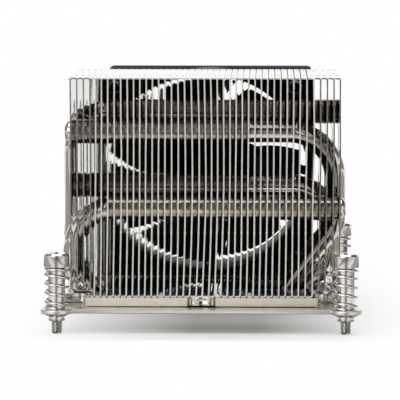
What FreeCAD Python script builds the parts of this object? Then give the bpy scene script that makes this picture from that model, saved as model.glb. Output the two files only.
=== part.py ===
"""2U processor cooler: zipper-fin stack on four bent heat pipes, with a 60 mm fan behind it.

Millimetres. The origin is the centre of the contact face that rests on the processor.
+Z is up through the fins, -Y is the open side of the fin stack, and the fan stands on +Y.
The cooler is held down by four spring-loaded captive screws on an 80 mm square.
"""
import FreeCAD, Part
import math
import os

Vector = FreeCAD.Vector
X_AXIS = Vector(1, 0, 0)
Y_AXIS = Vector(0, 1, 0)
Z_AXIS = Vector(0, 0, 1)

# Bracket and base block
SCREW_PITCH = 80.0            # square of the four captive screws
BRACKET_HALF_SIDE = 41.0
BRACKET_THICKNESS = 1.2
BRACKET_EAR_RADIUS = 4.5
EAR_BLEND_RADIUS = 1.5        # inside corner where an ear leaves the bracket's edge
PEDESTAL_SIDE = 48.0          # square pad under the base that touches the processor
PEDESTAL_PROUD = 0.7          # contact face below the underside of the bracket
WINDOW_GAP = 0.8              # air round the pedestal in the bracket's window
WINDOW_CORNER_RADIUS = 3.0
BASE_THICKNESS = 2.65
TONGUE_WIDTH = 64.8           # full-depth middle of the base block
TONGUE_DEPTH = 73.0
WING_WIDTH = 79.0             # wider stretch between the screws
WING_DEPTH = 54.0
BASE_CORNER_RADIUS = 2.6
THUMB_NOTCH_RADIUS = 3.9      # half-round notch in the middle of the front and rear faces

# Heat pipes
PIPE_RADIUS = 3.0
PIPE_FIT = 0.05               # radial solder gap round a pipe
PIPE_FLAT = 2.2               # thickness of the flattened run, which lies in a groove of the base
PIPE_SIDES = 24               # the flattened run is drawn many-sided
FLATTEN_RUN = 2.0             # straight length over which flattening starts, above the lower bend
FLATTEN_STEPS = 6
PIPE_SLOPE = math.radians(53.0)   # slope of the run between knee and base
KNEE_BEND = 7.0               # centre-line radius of the two lower bends
PIPE_TAIL = 28.0              # reach of the lower run past the middle of the base
PIPE_CHAMFER = 0.9            # swaged free end

# Fins
FIN_COUNT = 43
FIN_PITCH = 1.78
FIN_THICKNESS = 0.4
FIN_BEND = 0.35               # bevel that stands for the bend of a flange
FIN_DEPTH = 43.0
FIN_HEIGHT = 61.15
FIN_REAR = 8.0                # Y of the fins' rear edges
STACK_OFFSET = 1.05           # middle of the fin stack, off the middle of the base
RAISED_END_FINS = 4           # fins at each end that stop short of the base
END_FIN_LIFT = 1.7
SLOTTED_LEFT = 7              # fins that are slotted round the bends, from the left end
SLOTTED_RIGHT = 14
SLOT_GAP = 0.4                # air beside a pipe in a slot
HOLE_SIDES = 10               # the pierced holes are drawn many-sided

# Fan
FAN_SIZE = 60.0
FAN_DEPTH = 25.0
FAN_LIFT = 0.9                # underside of the fan above the top of the base block
FAN_BORE_RADIUS = 28.5
FAN_BARREL_WALL = 1.3
FAN_FLANGE = 3.6
FAN_CORNER_RADIUS = 1.0
FAN_HOLE_PITCH = 50.0
FAN_HOLE_RADIUS = 2.15
FAN_LIP = 0.8                 # bevel of the bore at both faces
HUB_RADIUS = 13.5
MOTOR_PLATE_THICKNESS = 2.6
STRUT_COUNT = 4
STRUT_WIDTH = 2.4
STRUT_ROOT = 0.3              # how far a strut's end is sunk in the fan's wall
BEARING_TUBE_RADIUS = 4.0
BEARING_RADIUS = 3.0
SHAFT_RADIUS = 1.5
RUNNING_FIT = 0.05            # radial play of turning fits
ROTOR_GAP = 0.5               # air between rotor and motor plate
ROTOR_LENGTH = 19.0
HUB_CAP = 2.0
BLADE_COUNT = 7
BLADE_TIP_RADIUS = 26.9
BLADE_LENGTH = 16.5           # along the axis, at the root
BLADE_THICKNESS = 1.1
BLADE_ROOT_SPAN = math.radians(47.0)   # angle a blade covers at its root
BLADE_TIP_SPAN = math.radians(43.0)
BLADE_CAMBER = 1.6
BLADE_PHASE = math.radians(29.1)
BLADE_SWEEP = math.radians(20.0)       # how far the drawn tip is turned on from the drawn root
BLADE_OVERRUN = 2.0           # a blade is drawn this far past its root and tip, then trimmed round
SHAFT_SETBACK = 2.0           # front end of the shaft behind the face of the motor plate

# Captive screws with their springs and clips
THREAD_RADIUS = 1.7
THREAD_LENGTH = 3.6
TIP_CHAMFER = 0.5
SHANK_RADIUS = 2.35
SHANK_BELOW_BRACKET = 2.0
HEAD_RADIUS = 3.53
HEAD_HEIGHT = 3.7
HEAD_ABOVE_BRACKET = 11.8     # length of the fitted spring
EAR_FIT = 0.1                 # radial play of a shank in its ear
CLIP_THICKNESS = 0.5
CLIP_RADIUS = 3.1
CLIP_GROOVE_DEPTH = 0.4
CLIP_PLAY = 0.05
DRIVE_WIDTH = 1.1
DRIVE_LENGTH = 4.2
DRIVE_DEPTH = 2.0
SCREW_ACCESS = 1.0            # air kept between a captive screw's head and the fins
SPRING_RADIUS = 3.175         # to the middle of the wire
SPRING_WIRE_RADIUS = 0.37
SPRING_TURNS = 3.85           # open turns
SPRING_END_TURNS = 0.75       # closed turns at each end
SPRING_CHORDS = 10            # straight stretches in one turn
SPRING_WIRE_SIDES = 6
SPRING_PLAY = 0.05

# Small screws
PLATE_SCREW_X = 34.5          # bracket to base block, from below
PLATE_SCREW_Y = 13.5
PLATE_SCREW_RADIUS = 1.25
PLATE_SCREW_HEAD_RADIUS = 2.3
PLATE_SCREW_BITE = 2.0
FAN_SCREW_RADIUS = 1.5
FAN_SCREW_HEAD_RADIUS = 2.9
FAN_SCREW_HEAD_HEIGHT = 2.2
FAN_SCREW_BITE = 4.0          # how far a fan screw cuts in between the fins
CUT_GAP = 0.02                # cut flanks beside a screw that holds by its thread

# Heights and places that follow
bracket_bottom = PEDESTAL_PROUD
bracket_top = bracket_bottom + BRACKET_THICKNESS
base_top = bracket_top + BASE_THICKNESS
pipe_low_z = base_top - PIPE_FIT - PIPE_FLAT / 2
pipe_width = PIPE_FLAT + math.pi * (PIPE_RADIUS - PIPE_FLAT / 2)
lower_bend_reach = KNEE_BEND * math.tan(PIPE_SLOPE / 2)
flatten_top = pipe_low_z + (lower_bend_reach + FLATTEN_RUN) * math.sin(PIPE_SLOPE)
fin_top = base_top + FIN_HEIGHT
fin_front = FIN_REAR - FIN_DEPTH
first_fin_x = STACK_OFFSET - FIN_PITCH * (FIN_COUNT - 1) / 2
last_fin_x = first_fin_x + FIN_PITCH * (FIN_COUNT - 1)
fan_front = FIN_REAR
fan_rear = fan_front + FAN_DEPTH
fan_centre_z = base_top + FAN_LIFT + FAN_SIZE / 2
head_bottom = bracket_top + HEAD_ABOVE_BRACKET
corners = [(sx, sy) for sy in (-1, 1) for sx in (-1, 1)]
corner_names = ["front_left", "front_right", "rear_left", "rear_right"]


class HeatPipe:
    """One C-shaped pipe: a high run through the fins, a leg at one side, and a low run in the base.

    The pipe is flat and leans, so its low run lies nearer the processor than its high run.
    Heights along the lean are counted from the low run.
    """

    def __init__(self, side, high_y, high_z, low_y, leg_x, knee_z, bend, free_x):
        self.side = side
        self.high_y = high_y
        self.high_z = high_z
        self.low_y = low_y
        self.leg_x = leg_x
        self.knee_z = knee_z
        self.bend = bend
        self.free_x = free_x
        self.lean = math.atan2(low_y - high_y, high_z - pipe_low_z)

    def along(self, z):
        """Distance along the lean at height z."""
        return (z - pipe_low_z) / math.cos(self.lean)

    def y_at(self, z):
        return self.low_y - (z - pipe_low_z) * math.tan(self.lean)

    def point(self, x, along):
        """A point in the plane of the pipe."""
        return Vector(x, self.low_y - along * math.sin(self.lean), pipe_low_z + along * math.cos(self.lean))

    def place(self, shape):
        """Tip an upright shape in the XZ plane into the plane of the pipe."""
        shape.rotate(Vector(0, 0, 0), X_AXIS, math.degrees(self.lean))
        shape.translate(Vector(0, self.low_y, pipe_low_z))
        return shape

    def foot_x(self):
        return self.leg_x - self.side * self.along(self.knee_z) / math.tan(PIPE_SLOPE)


pipes = {
    "heat_pipe_front_low": HeatPipe(-1, -26.0, 28.7, -22.0, -36.2, 11.7, 12.5, 40.2),
    "heat_pipe_front_high": HeatPipe(1, -18.5, 49.5, -13.5, 37.3, 23.2, 13.0, -38.4),
    "heat_pipe_rear_low": HeatPipe(1, -8.0, 33.4, -5.0, 36.2, 13.0, 11.0, -36.5),
    "heat_pipe_rear_high": HeatPipe(-1, 0.0, 54.0, 3.5, -37.6, 13.0, 12.0, 38.7),
}


def box(x0, x1, y0, y1, z0, z1):
    return Part.makeBox(x1 - x0, y1 - y0, z1 - z0, Vector(x0, y0, z0))


def centred_box(width, depth, z0, z1):
    return box(-width / 2, width / 2, -depth / 2, depth / 2, z0, z1)


def cylinder(radius, x, y, z, length, axis=Z_AXIS):
    return Part.makeCylinder(radius, length, Vector(x, y, z), axis)


def cut_all(shape, tools):
    for tool in tools:
        shape = shape.cut(tool)
    return shape


def upright_edges(shape, axis, wanted):
    """Straight edges along an axis whose middle point passes the test."""
    found = []
    for edge in shape.Edges:
        run = edge.Vertexes[-1].Point - edge.Vertexes[0].Point
        if run.Length > 0 and abs(run.dot(axis)) > 0.999 * run.Length and wanted(edge.CenterOfMass):
            found.append(edge)
    return found


def save(name, solids):
    """Write one node. Several solids stay separate bodies in the same file."""
    shape = solids[0] if len(solids) == 1 else Part.makeCompound(solids)
    shape.exportStep(os.path.join("parts", name + ".step"))


def rounded_path(points, radii):
    """Straight runs through the points, joined by arcs tangent to both."""
    edges = []
    start = points[0]
    for before, corner, after, radius in zip(points, points[1:], points[2:], radii):
        back = (before - corner).normalize()
        ahead = (after - corner).normalize()
        half_turn = (math.pi - back.getAngle(ahead)) / 2
        reach = radius * math.tan(half_turn)
        arc_start = corner + back * reach
        arc_end = corner + ahead * reach
        inward = (back + ahead).normalize()
        arc_middle = corner + inward * (radius / math.cos(half_turn) - radius)
        edges.append(Part.makeLine(start, arc_start))
        edges.append(Part.Arc(arc_start, arc_middle, arc_end).toShape())
        start = arc_end
    edges.append(Part.makeLine(start, points[-1]))
    return Part.Wire(edges)


def flattened(share):
    """Point on the outline of a flattened pipe, a share of the way round from its side."""
    round_off = PIPE_FLAT / 2
    straight = pipe_width - PIPE_FLAT
    half = math.pi * PIPE_RADIUS
    run = share * 2 * half
    sign = 1 if run < half else -1
    run = run % half
    quarter = round_off * math.pi / 2
    if run < quarter:
        x = straight / 2 + round_off * math.cos(run / round_off)
        y = round_off * math.sin(run / round_off)
    elif run < quarter + straight:
        x = straight / 2 - (run - quarter)
        y = round_off
    else:
        x = -straight / 2 + round_off * math.cos((run - straight) / round_off)
        y = round_off * math.sin((run - straight) / round_off)
    return sign * x, sign * y


def pipe_section(centre, ahead, across, flatness):
    """Many-sided outline across a pipe, between round (0) and flattened (1)."""
    up = ahead.cross(across).normalize()
    across = up.cross(ahead).normalize()
    points = []
    for k in range(PIPE_SIDES):
        angle = 2 * math.pi * k / PIPE_SIDES
        flat_x, flat_y = flattened(k / PIPE_SIDES)
        x = (1 - flatness) * PIPE_RADIUS * math.cos(angle) + flatness * flat_x
        y = (1 - flatness) * PIPE_RADIUS * math.sin(angle) + flatness * flat_y
        points.append(centre + across * x + up * y)
    return Part.makePolygon(points + points[:1])


def make_flattened_run(pipe, start):
    """The end of the sloping run, the lower bend and the low run, from round to flat."""
    foot = pipe.foot_x()
    leaning = pipe.point(0, 0) - pipe.point(0, 1)
    across = Vector(0, math.cos(pipe.lean), math.sin(pipe.lean))
    sections = []
    length = FLATTEN_RUN + KNEE_BEND * PIPE_SLOPE
    for k in range(FLATTEN_STEPS + 1):
        swing = PIPE_SLOPE * (1 - k / FLATTEN_STEPS)
        x = foot - pipe.side * (lower_bend_reach - KNEE_BEND * math.sin(swing))
        along = KNEE_BEND * (1 - math.cos(swing))
        ahead = Vector(-pipe.side * math.cos(swing), 0, 0) + leaning * math.sin(swing)
        share = (FLATTEN_RUN + KNEE_BEND * (PIPE_SLOPE - swing)) / length
        flatness = share * (2 - share)
        turned = across * (1 - flatness) + Y_AXIS * flatness
        if k == 0:
            sections.append(pipe_section(start, ahead, across, 0))
        sections.append(pipe_section(pipe.point(x, along), ahead, turned, flatness))
    ahead = Vector(-pipe.side, 0, 0)
    sections.append(pipe_section(pipe.point(-pipe.side * PIPE_TAIL, 0), ahead, Y_AXIS, 1))
    return Part.makeLoft(sections, True, True)


def make_pipe(pipe):
    top = pipe.along(pipe.high_z)
    back_off = lower_bend_reach + FLATTEN_RUN
    start_x = pipe.foot_x() + pipe.side * back_off * math.cos(PIPE_SLOPE)
    start_along = back_off * math.sin(PIPE_SLOPE)
    points = [
        Vector(pipe.free_x, 0, top),
        Vector(pipe.leg_x, 0, top),
        Vector(pipe.leg_x, 0, pipe.along(pipe.knee_z)),
        Vector(start_x, 0, start_along),
    ]
    path = rounded_path(points, [pipe.bend, KNEE_BEND])
    ring = Part.Wire(Part.Circle(points[0], X_AXIS, PIPE_RADIUS).toShape())
    bar = path.makePipe(Part.Face(ring))
    ends = [edge for edge in bar.Edges if abs(edge.CenterOfMass.x - pipe.free_x) < 1e-6
            and edge.Length > PIPE_RADIUS]
    bar = pipe.place(bar.makeChamfer(PIPE_CHAMFER, ends))
    return bar.fuse(make_flattened_run(pipe, pipe.point(start_x, start_along)))


def pipe_groove(pipe):
    """Round-bottomed groove for a flattened run, with room at one end for the bend."""
    entry = lower_bend_reach + PIPE_RADIUS
    x0, x1 = sorted((pipe.foot_x() + pipe.side * entry, -pipe.side * (PIPE_TAIL + PIPE_FIT)))
    r = PIPE_FLAT / 2 + PIPE_FIT
    near = pipe.low_y - (pipe_width - PIPE_FLAT) / 2
    far = pipe.low_y + (pipe_width - PIPE_FLAT) / 2
    corner = r * math.sqrt(0.5)
    z = pipe_low_z
    rim = base_top + 1

    def at(y, height):
        return Vector(x0, y, height)

    outline = Part.Wire([
        Part.makeLine(at(near - r, rim), at(near - r, z)),
        Part.Arc(at(near - r, z), at(near - corner, z - corner), at(near, z - r)).toShape(),
        Part.makeLine(at(near, z - r), at(far, z - r)),
        Part.Arc(at(far, z - r), at(far + corner, z - corner), at(far + r, z)).toShape(),
        Part.makeLine(at(far + r, z), at(far + r, rim)),
        Part.makeLine(at(far + r, rim), at(near - r, rim)),
    ])
    return Part.Face(outline).extrude(Vector(x1 - x0, 0, 0))


def make_base():
    tongue = centred_box(TONGUE_WIDTH, TONGUE_DEPTH, bracket_top, base_top)
    wings = centred_box(WING_WIDTH, WING_DEPTH, bracket_top, base_top)
    block = tongue.fuse(wings).removeSplitter()
    inner = upright_edges(
        block, Z_AXIS,
        lambda p: abs(abs(p.x) - TONGUE_WIDTH / 2) < 0.01 and abs(abs(p.y) - WING_DEPTH / 2) < 0.01)
    block = block.makeFillet(BASE_CORNER_RADIUS, inner)
    block = block.fuse(centred_box(PEDESTAL_SIDE, PEDESTAL_SIDE, 0, bracket_top))
    for pipe in pipes.values():
        block = block.cut(pipe_groove(pipe))
    for side in (-1, 1):
        block = block.cut(cylinder(THUMB_NOTCH_RADIUS, 0, side * TONGUE_DEPTH / 2,
                                   bracket_top, BASE_THICKNESS))
    for x, y in plate_screw_places():
        block = block.cut(cylinder(PLATE_SCREW_RADIUS + CUT_GAP, x, y, bracket_top, PLATE_SCREW_BITE))
    return block


def plate_screw_places():
    return [(sx * PLATE_SCREW_X, sy * PLATE_SCREW_Y) for sx, sy in corners]


def plate_screw(x, y, grow=0.0):
    """Countersunk screw from below. With grow it is the hole that the screw sits in."""
    head = PLATE_SCREW_HEAD_RADIUS + grow
    shank = PLATE_SCREW_RADIUS + grow
    cone = Part.makeCone(head, shank, PLATE_SCREW_HEAD_RADIUS - PLATE_SCREW_RADIUS,
                         Vector(x, y, bracket_bottom))
    stem = cylinder(shank, x, y, bracket_bottom, BRACKET_THICKNESS + PLATE_SCREW_BITE)
    return cone.fuse(stem).removeSplitter()


def screw_places():
    return [(sx * SCREW_PITCH / 2, sy * SCREW_PITCH / 2) for sx, sy in corners]


def make_bracket():
    plate = centred_box(2 * BRACKET_HALF_SIDE, 2 * BRACKET_HALF_SIDE, bracket_bottom, bracket_top)
    for x, y in screw_places():
        corner = box(*sorted((x, math.copysign(BRACKET_HALF_SIDE, x))),
                     *sorted((y, math.copysign(BRACKET_HALF_SIDE, y))), bracket_bottom, bracket_top)
        plate = plate.cut(corner)
        plate = plate.fuse(cylinder(BRACKET_EAR_RADIUS, x, y, bracket_bottom, BRACKET_THICKNESS))
    plate = plate.removeSplitter()
    plate = plate.makeFillet(EAR_BLEND_RADIUS, upright_edges(
        plate, Z_AXIS, lambda p: abs(max(abs(p.x), abs(p.y)) - BRACKET_HALF_SIDE) < 0.01))
    side = PEDESTAL_SIDE + 2 * WINDOW_GAP
    window = centred_box(side, side, bracket_bottom, bracket_top)
    window = window.makeFillet(WINDOW_CORNER_RADIUS, upright_edges(window, Z_AXIS, lambda p: True))
    plate = plate.cut(window)
    for x, y in screw_places():
        plate = plate.cut(cylinder(SHANK_RADIUS + EAR_FIT, x, y, bracket_bottom, BRACKET_THICKNESS))
    for x, y in plate_screw_places():
        plate = plate.cut(plate_screw(x, y, PIPE_FIT))
    return plate.removeSplitter()


def fin_sheet(x, bottom, flange):
    """One fin: an upright sheet with a bent flange at the top and at the bottom."""
    right = x + FIN_THICKNESS / 2
    left = x - FIN_THICKNESS / 2
    tip = left - flange
    t = FIN_THICKNESS
    if flange == 0:
        outline = [(left, bottom), (right, bottom), (right, fin_top), (left, fin_top)]
    else:
        outline = [
            (tip, bottom), (right - FIN_BEND, bottom), (right, bottom + FIN_BEND),
            (right, fin_top - FIN_BEND), (right - FIN_BEND, fin_top), (tip, fin_top),
            (tip, fin_top - t), (left, fin_top - t), (left, bottom + t), (tip, bottom + t),
        ]
    points = [Vector(px, fin_front, pz) for px, pz in outline]
    return Part.Face(Part.makePolygon(points + points[:1])).extrude(Vector(0, FIN_DEPTH, 0))


def pipe_hole(pipe, x0, x1):
    """Pierced hole round a high run, drawn with HOLE_SIDES flats."""
    radius = (PIPE_RADIUS + PIPE_FIT) / math.cos(math.pi / HOLE_SIDES)
    points = []
    for k in range(HOLE_SIDES + 1):
        angle = 2 * math.pi * (k + 0.5) / HOLE_SIDES
        points.append(Vector(x0, pipe.high_y + radius * math.cos(angle),
                             pipe.high_z + radius * math.sin(angle)))
    return Part.Face(Part.makePolygon(points)).extrude(Vector(x1 - x0, 0, 0))


def pipe_slot(pipe, x0, x1, bottom):
    """Open-ended slot that clears a whole leg. Its foot is wider, round the flattened bend."""
    half = PIPE_RADIUS + SLOT_GAP
    wide = pipe_width / 2 + SLOT_GAP
    top = pipe.along(pipe.high_z) + half
    low = pipe.along(bottom) - half
    foot = pipe.along(flatten_top)
    bevel = half / 2
    outline = [(-wide, low), (wide, low), (wide, foot), (half, foot + wide - half), (half, top - bevel),
               (half - bevel, top), (bevel - half, top), (-half, top - bevel),
               (-half, foot + wide - half), (-wide, foot)]
    points = [Vector(x0, across, up) for across, up in outline]
    prism = Part.Face(Part.makePolygon(points + points[:1])).extrude(Vector(x1 - x0, 0, 0))
    return pipe.place(prism)


def fan_screw_places():
    half = FAN_HOLE_PITCH / 2
    return [(STACK_OFFSET + sx * half, fan_centre_z + sz * half) for sx, sz in corners]


def make_fin(index):
    x = first_fin_x + index * FIN_PITCH
    from_end = min(index, FIN_COUNT - 1 - index)
    bottom = base_top + (END_FIN_LIFT if from_end < RAISED_END_FINS else 0.0)
    flange = FIN_PITCH - FIN_THICKNESS if index > 0 else 0.0
    fin = fin_sheet(x, bottom, flange)
    x0 = x - FIN_PITCH
    x1 = x + FIN_PITCH / 2
    for pipe in pipes.values():
        beside_leg = index < SLOTTED_LEFT if pipe.side < 0 else index >= FIN_COUNT - SLOTTED_RIGHT
        cutter = pipe_slot(pipe, x0, x1, bottom) if beside_leg else pipe_hole(pipe, x0, x1)
        fin = fin.cut(cutter)
    for sx, sz in fan_screw_places():
        if abs(sx - x) < FIN_PITCH + FAN_SCREW_RADIUS:
            fin = fin.cut(cylinder(FAN_SCREW_RADIUS + CUT_GAP, sx, FIN_REAR - FAN_SCREW_BITE - CUT_GAP,
                                   sz, FAN_SCREW_BITE + 1, Y_AXIS))
    reach = HEAD_RADIUS + SCREW_ACCESS
    for sx, sy in screw_places():
        if abs(sx - x) < FIN_PITCH + reach:
            fin = fin.cut(cylinder(reach, sx, sy, bracket_top, FIN_HEIGHT + BASE_THICKNESS + 1))
    return fin


def fin_groups():
    """Fins by the way they are stamped, from left to right."""
    right_slotted = FIN_COUNT - SLOTTED_RIGHT
    right_raised = FIN_COUNT - RAISED_END_FINS
    limits = [0, RAISED_END_FINS, SLOTTED_LEFT, (SLOTTED_LEFT + right_slotted) // 2,
              right_slotted, right_raised, FIN_COUNT]
    names = ["fins_end_left", "fins_slotted_left", "fins_middle_left", "fins_middle_right",
             "fins_slotted_right", "fins_end_right"]
    return {name: range(a, b) for name, a, b in zip(names, limits, limits[1:])}


def make_fan_frame():
    half = FAN_SIZE / 2
    cx = STACK_OFFSET
    blank = box(cx - half, cx + half, fan_front, fan_rear, fan_centre_z - half, fan_centre_z + half)
    blank = blank.makeFillet(FAN_CORNER_RADIUS, upright_edges(blank, Y_AXIS, lambda p: True))
    waist = blank.common(box(cx - half, cx + half, fan_front + FAN_FLANGE, fan_rear - FAN_FLANGE,
                             fan_centre_z - half, fan_centre_z + half))
    barrel = cylinder(FAN_BORE_RADIUS + FAN_BARREL_WALL, cx, fan_front + FAN_FLANGE, fan_centre_z,
                      FAN_DEPTH - 2 * FAN_FLANGE, Y_AXIS)
    frame = blank.cut(waist.cut(barrel))
    frame = frame.cut(cylinder(FAN_BORE_RADIUS, cx, fan_front, fan_centre_z, FAN_DEPTH, Y_AXIS))
    lips = [
        Part.makeCone(FAN_BORE_RADIUS + FAN_LIP, FAN_BORE_RADIUS, FAN_LIP,
                      Vector(cx, fan_front, fan_centre_z), Y_AXIS),
        Part.makeCone(FAN_BORE_RADIUS + FAN_LIP, FAN_BORE_RADIUS, FAN_LIP,
                      Vector(cx, fan_rear, fan_centre_z), -Y_AXIS),
    ]
    frame = cut_all(frame, lips)
    for sx, sz in fan_screw_places():
        frame = frame.cut(cylinder(FAN_HOLE_RADIUS, sx, fan_front, sz, FAN_DEPTH, Y_AXIS))
    motor = cylinder(HUB_RADIUS, cx, fan_front, fan_centre_z, MOTOR_PLATE_THICKNESS, Y_AXIS)
    reach = cylinder(FAN_BORE_RADIUS + FAN_LIP + STRUT_ROOT, cx, fan_front, fan_centre_z,
                     MOTOR_PLATE_THICKNESS, Y_AXIS)
    for k in range(STRUT_COUNT):
        strut = box(0, FAN_SIZE / 2, fan_front, fan_front + MOTOR_PLATE_THICKNESS,
                    HUB_RADIUS - STRUT_WIDTH - 1, HUB_RADIUS - 1)
        strut.rotate(Vector(0, 0, 0), Y_AXIS, 360.0 * (k + 0.25) / STRUT_COUNT)
        strut.translate(Vector(cx, 0, fan_centre_z))
        motor = motor.fuse(strut.common(reach))
    tube_length = MOTOR_PLATE_THICKNESS + ROTOR_GAP + ROTOR_LENGTH - HUB_CAP - ROTOR_GAP
    motor = motor.fuse(cylinder(BEARING_TUBE_RADIUS, cx, fan_front, fan_centre_z, tube_length, Y_AXIS))
    frame = frame.fuse(motor).removeSplitter()
    return frame.cut(cylinder(BEARING_RADIUS, cx, fan_front + 1, fan_centre_z, tube_length, Y_AXIS))


def make_fan_bearing():
    length = MOTOR_PLATE_THICKNESS + ROTOR_LENGTH - HUB_CAP - 1
    ring = cylinder(BEARING_RADIUS, STACK_OFFSET, fan_front + 1, fan_centre_z, length, Y_AXIS)
    return ring.cut(cylinder(SHAFT_RADIUS + RUNNING_FIT, STACK_OFFSET, fan_front + 1, fan_centre_z,
                             length, Y_AXIS))


def blade_section(radius, span, length):
    """Bent strip of a blade, on the flat at a radius, seen towards the axis."""
    half = radius * math.tan(span / 2)
    t = BLADE_THICKNESS / 2
    spine = [(-half, -length / 2), (0, BLADE_CAMBER), (half, length / 2)]
    outline = [(x, y + t) for x, y in spine] + [(x, y - t) for x, y in reversed(spine)]
    points = [Vector(x, y, radius) for x, y in outline]
    return Part.makePolygon(points + points[:1])


def make_fan_rotor():
    rotor_front = fan_front + MOTOR_PLATE_THICKNESS + ROTOR_GAP
    hub = cylinder(HUB_RADIUS, 0, rotor_front, 0, ROTOR_LENGTH, Y_AXIS)
    hub_rear = [edge for edge in hub.Edges if abs(edge.CenterOfMass.y - rotor_front - ROTOR_LENGTH) < 0.01
                and edge.Length > HUB_RADIUS]
    hub = hub.makeChamfer(1.0, hub_rear)
    root = blade_section(HUB_RADIUS - BLADE_OVERRUN, BLADE_ROOT_SPAN, BLADE_LENGTH)
    tip = blade_section(BLADE_TIP_RADIUS + BLADE_OVERRUN, BLADE_TIP_SPAN, BLADE_LENGTH * 0.8)
    tip.rotate(Vector(0, 0, 0), Y_AXIS, math.degrees(BLADE_SWEEP))
    blade = Part.makeLoft([root, tip], True, True)
    ring = cylinder(BLADE_TIP_RADIUS, 0, -BLADE_LENGTH, 0, 2 * BLADE_LENGTH, Y_AXIS)
    ring = ring.cut(cylinder(HUB_RADIUS - 0.5, 0, -BLADE_LENGTH, 0, 2 * BLADE_LENGTH, Y_AXIS))
    blade = blade.common(ring)
    blade.translate(Vector(0, rotor_front + ROTOR_LENGTH / 2, 0))
    rotor = hub
    for k in range(BLADE_COUNT):
        turned = blade.copy()
        turned.rotate(Vector(0, 0, 0), Y_AXIS, math.degrees(BLADE_PHASE) + 360.0 * k / BLADE_COUNT)
        rotor = rotor.fuse(turned)
    well = ROTOR_LENGTH - HUB_CAP
    rotor = rotor.cut(cylinder(BEARING_TUBE_RADIUS + ROTOR_GAP, 0, rotor_front, 0, well, Y_AXIS))
    shaft_front = fan_front + SHAFT_SETBACK
    rotor = rotor.fuse(cylinder(SHAFT_RADIUS, 0, shaft_front, 0,
                                rotor_front + ROTOR_LENGTH - HUB_CAP / 2 - shaft_front, Y_AXIS))
    rotor.translate(Vector(STACK_OFFSET, 0, fan_centre_z))
    return rotor.removeSplitter()


def make_fan_screw(x, z):
    stem = cylinder(FAN_SCREW_RADIUS, x, FIN_REAR - FAN_SCREW_BITE, z,
                    FAN_DEPTH + FAN_SCREW_BITE, Y_AXIS)
    head = cylinder(FAN_SCREW_HEAD_RADIUS, x, fan_rear, z, FAN_SCREW_HEAD_HEIGHT, Y_AXIS)
    return stem.fuse(head).removeSplitter()


def make_captive_screw(x, y):
    """Turned screw: chamfered thread, shank with a clip groove, cheese head with a cross drive."""
    shank_bottom = bracket_bottom - SHANK_BELOW_BRACKET
    tip = shank_bottom - THREAD_LENGTH
    groove_top = bracket_bottom
    groove_bottom = groove_top - CLIP_THICKNESS - 2 * CLIP_PLAY
    groove_radius = SHANK_RADIUS - CLIP_GROOVE_DEPTH
    head_top = head_bottom + HEAD_HEIGHT
    profile = [
        (0, tip), (THREAD_RADIUS - TIP_CHAMFER, tip), (THREAD_RADIUS, tip + TIP_CHAMFER),
        (THREAD_RADIUS, shank_bottom), (SHANK_RADIUS, shank_bottom), (SHANK_RADIUS, groove_bottom),
        (groove_radius, groove_bottom), (groove_radius, groove_top), (SHANK_RADIUS, groove_top),
        (SHANK_RADIUS, head_bottom), (HEAD_RADIUS, head_bottom), (HEAD_RADIUS, head_top - TIP_CHAMFER),
        (HEAD_RADIUS - TIP_CHAMFER, head_top), (0, head_top),
    ]
    points = [Vector(r, 0, z) for r, z in profile]
    screw = Part.Face(Part.makePolygon(points + points[:1])).revolve(Vector(0, 0, 0), Z_AXIS, 360)
    for width, depth in ((DRIVE_WIDTH, DRIVE_LENGTH), (DRIVE_LENGTH, DRIVE_WIDTH)):
        screw = screw.cut(centred_box(width, depth, head_top - DRIVE_DEPTH, head_top))
    screw.translate(Vector(x, y, 0))
    return screw


def make_clip(x, y):
    """Open retaining ring in the groove of a captive screw, just under the bracket."""
    z = bracket_bottom - CLIP_PLAY - CLIP_THICKNESS
    hole = SHANK_RADIUS - CLIP_GROOVE_DEPTH + RUNNING_FIT
    ring = cylinder(CLIP_RADIUS, x, y, z, CLIP_THICKNESS).cut(cylinder(hole, x, y, z, CLIP_THICKNESS))
    outward = math.copysign(CLIP_RADIUS, y)
    mouth = box(x - hole * 0.8, x + hole * 0.8, *sorted((y, y + 2 * outward)), z, z + CLIP_THICKNESS)
    return ring.cut(mouth)


def make_spring(x, y):
    """Left-hand coil spring, closed at both ends, as a loft through flat wire sections."""
    bottom = bracket_top + SPRING_PLAY + SPRING_WIRE_RADIUS
    top = head_bottom - SPRING_PLAY - SPRING_WIRE_RADIUS
    closed_pitch = 2 * SPRING_WIRE_RADIUS + SPRING_PLAY
    open_pitch = (top - bottom - 2 * SPRING_END_TURNS * closed_pitch) / SPRING_TURNS
    total = SPRING_TURNS + 2 * SPRING_END_TURNS
    sections = []
    for k in range(math.ceil(total * SPRING_CHORDS) + 1):
        turn = min(k / SPRING_CHORDS, total)
        opened = min(max(turn - SPRING_END_TURNS, 0), SPRING_TURNS)
        rise = open_pitch * opened + closed_pitch * (turn - opened)
        angle = -2 * math.pi * turn - math.pi / 2
        points = []
        for side in range(SPRING_WIRE_SIDES + 1):
            around = 2 * math.pi * (side + 0.5) / SPRING_WIRE_SIDES
            radius = SPRING_RADIUS + SPRING_WIRE_RADIUS * math.cos(around)
            points.append(Vector(x + radius * math.cos(angle), y + radius * math.sin(angle),
                                 bottom + rise + SPRING_WIRE_RADIUS * math.sin(around)))
        sections.append(Part.makePolygon(points))
    return Part.makeLoft(sections, True, True)


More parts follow.
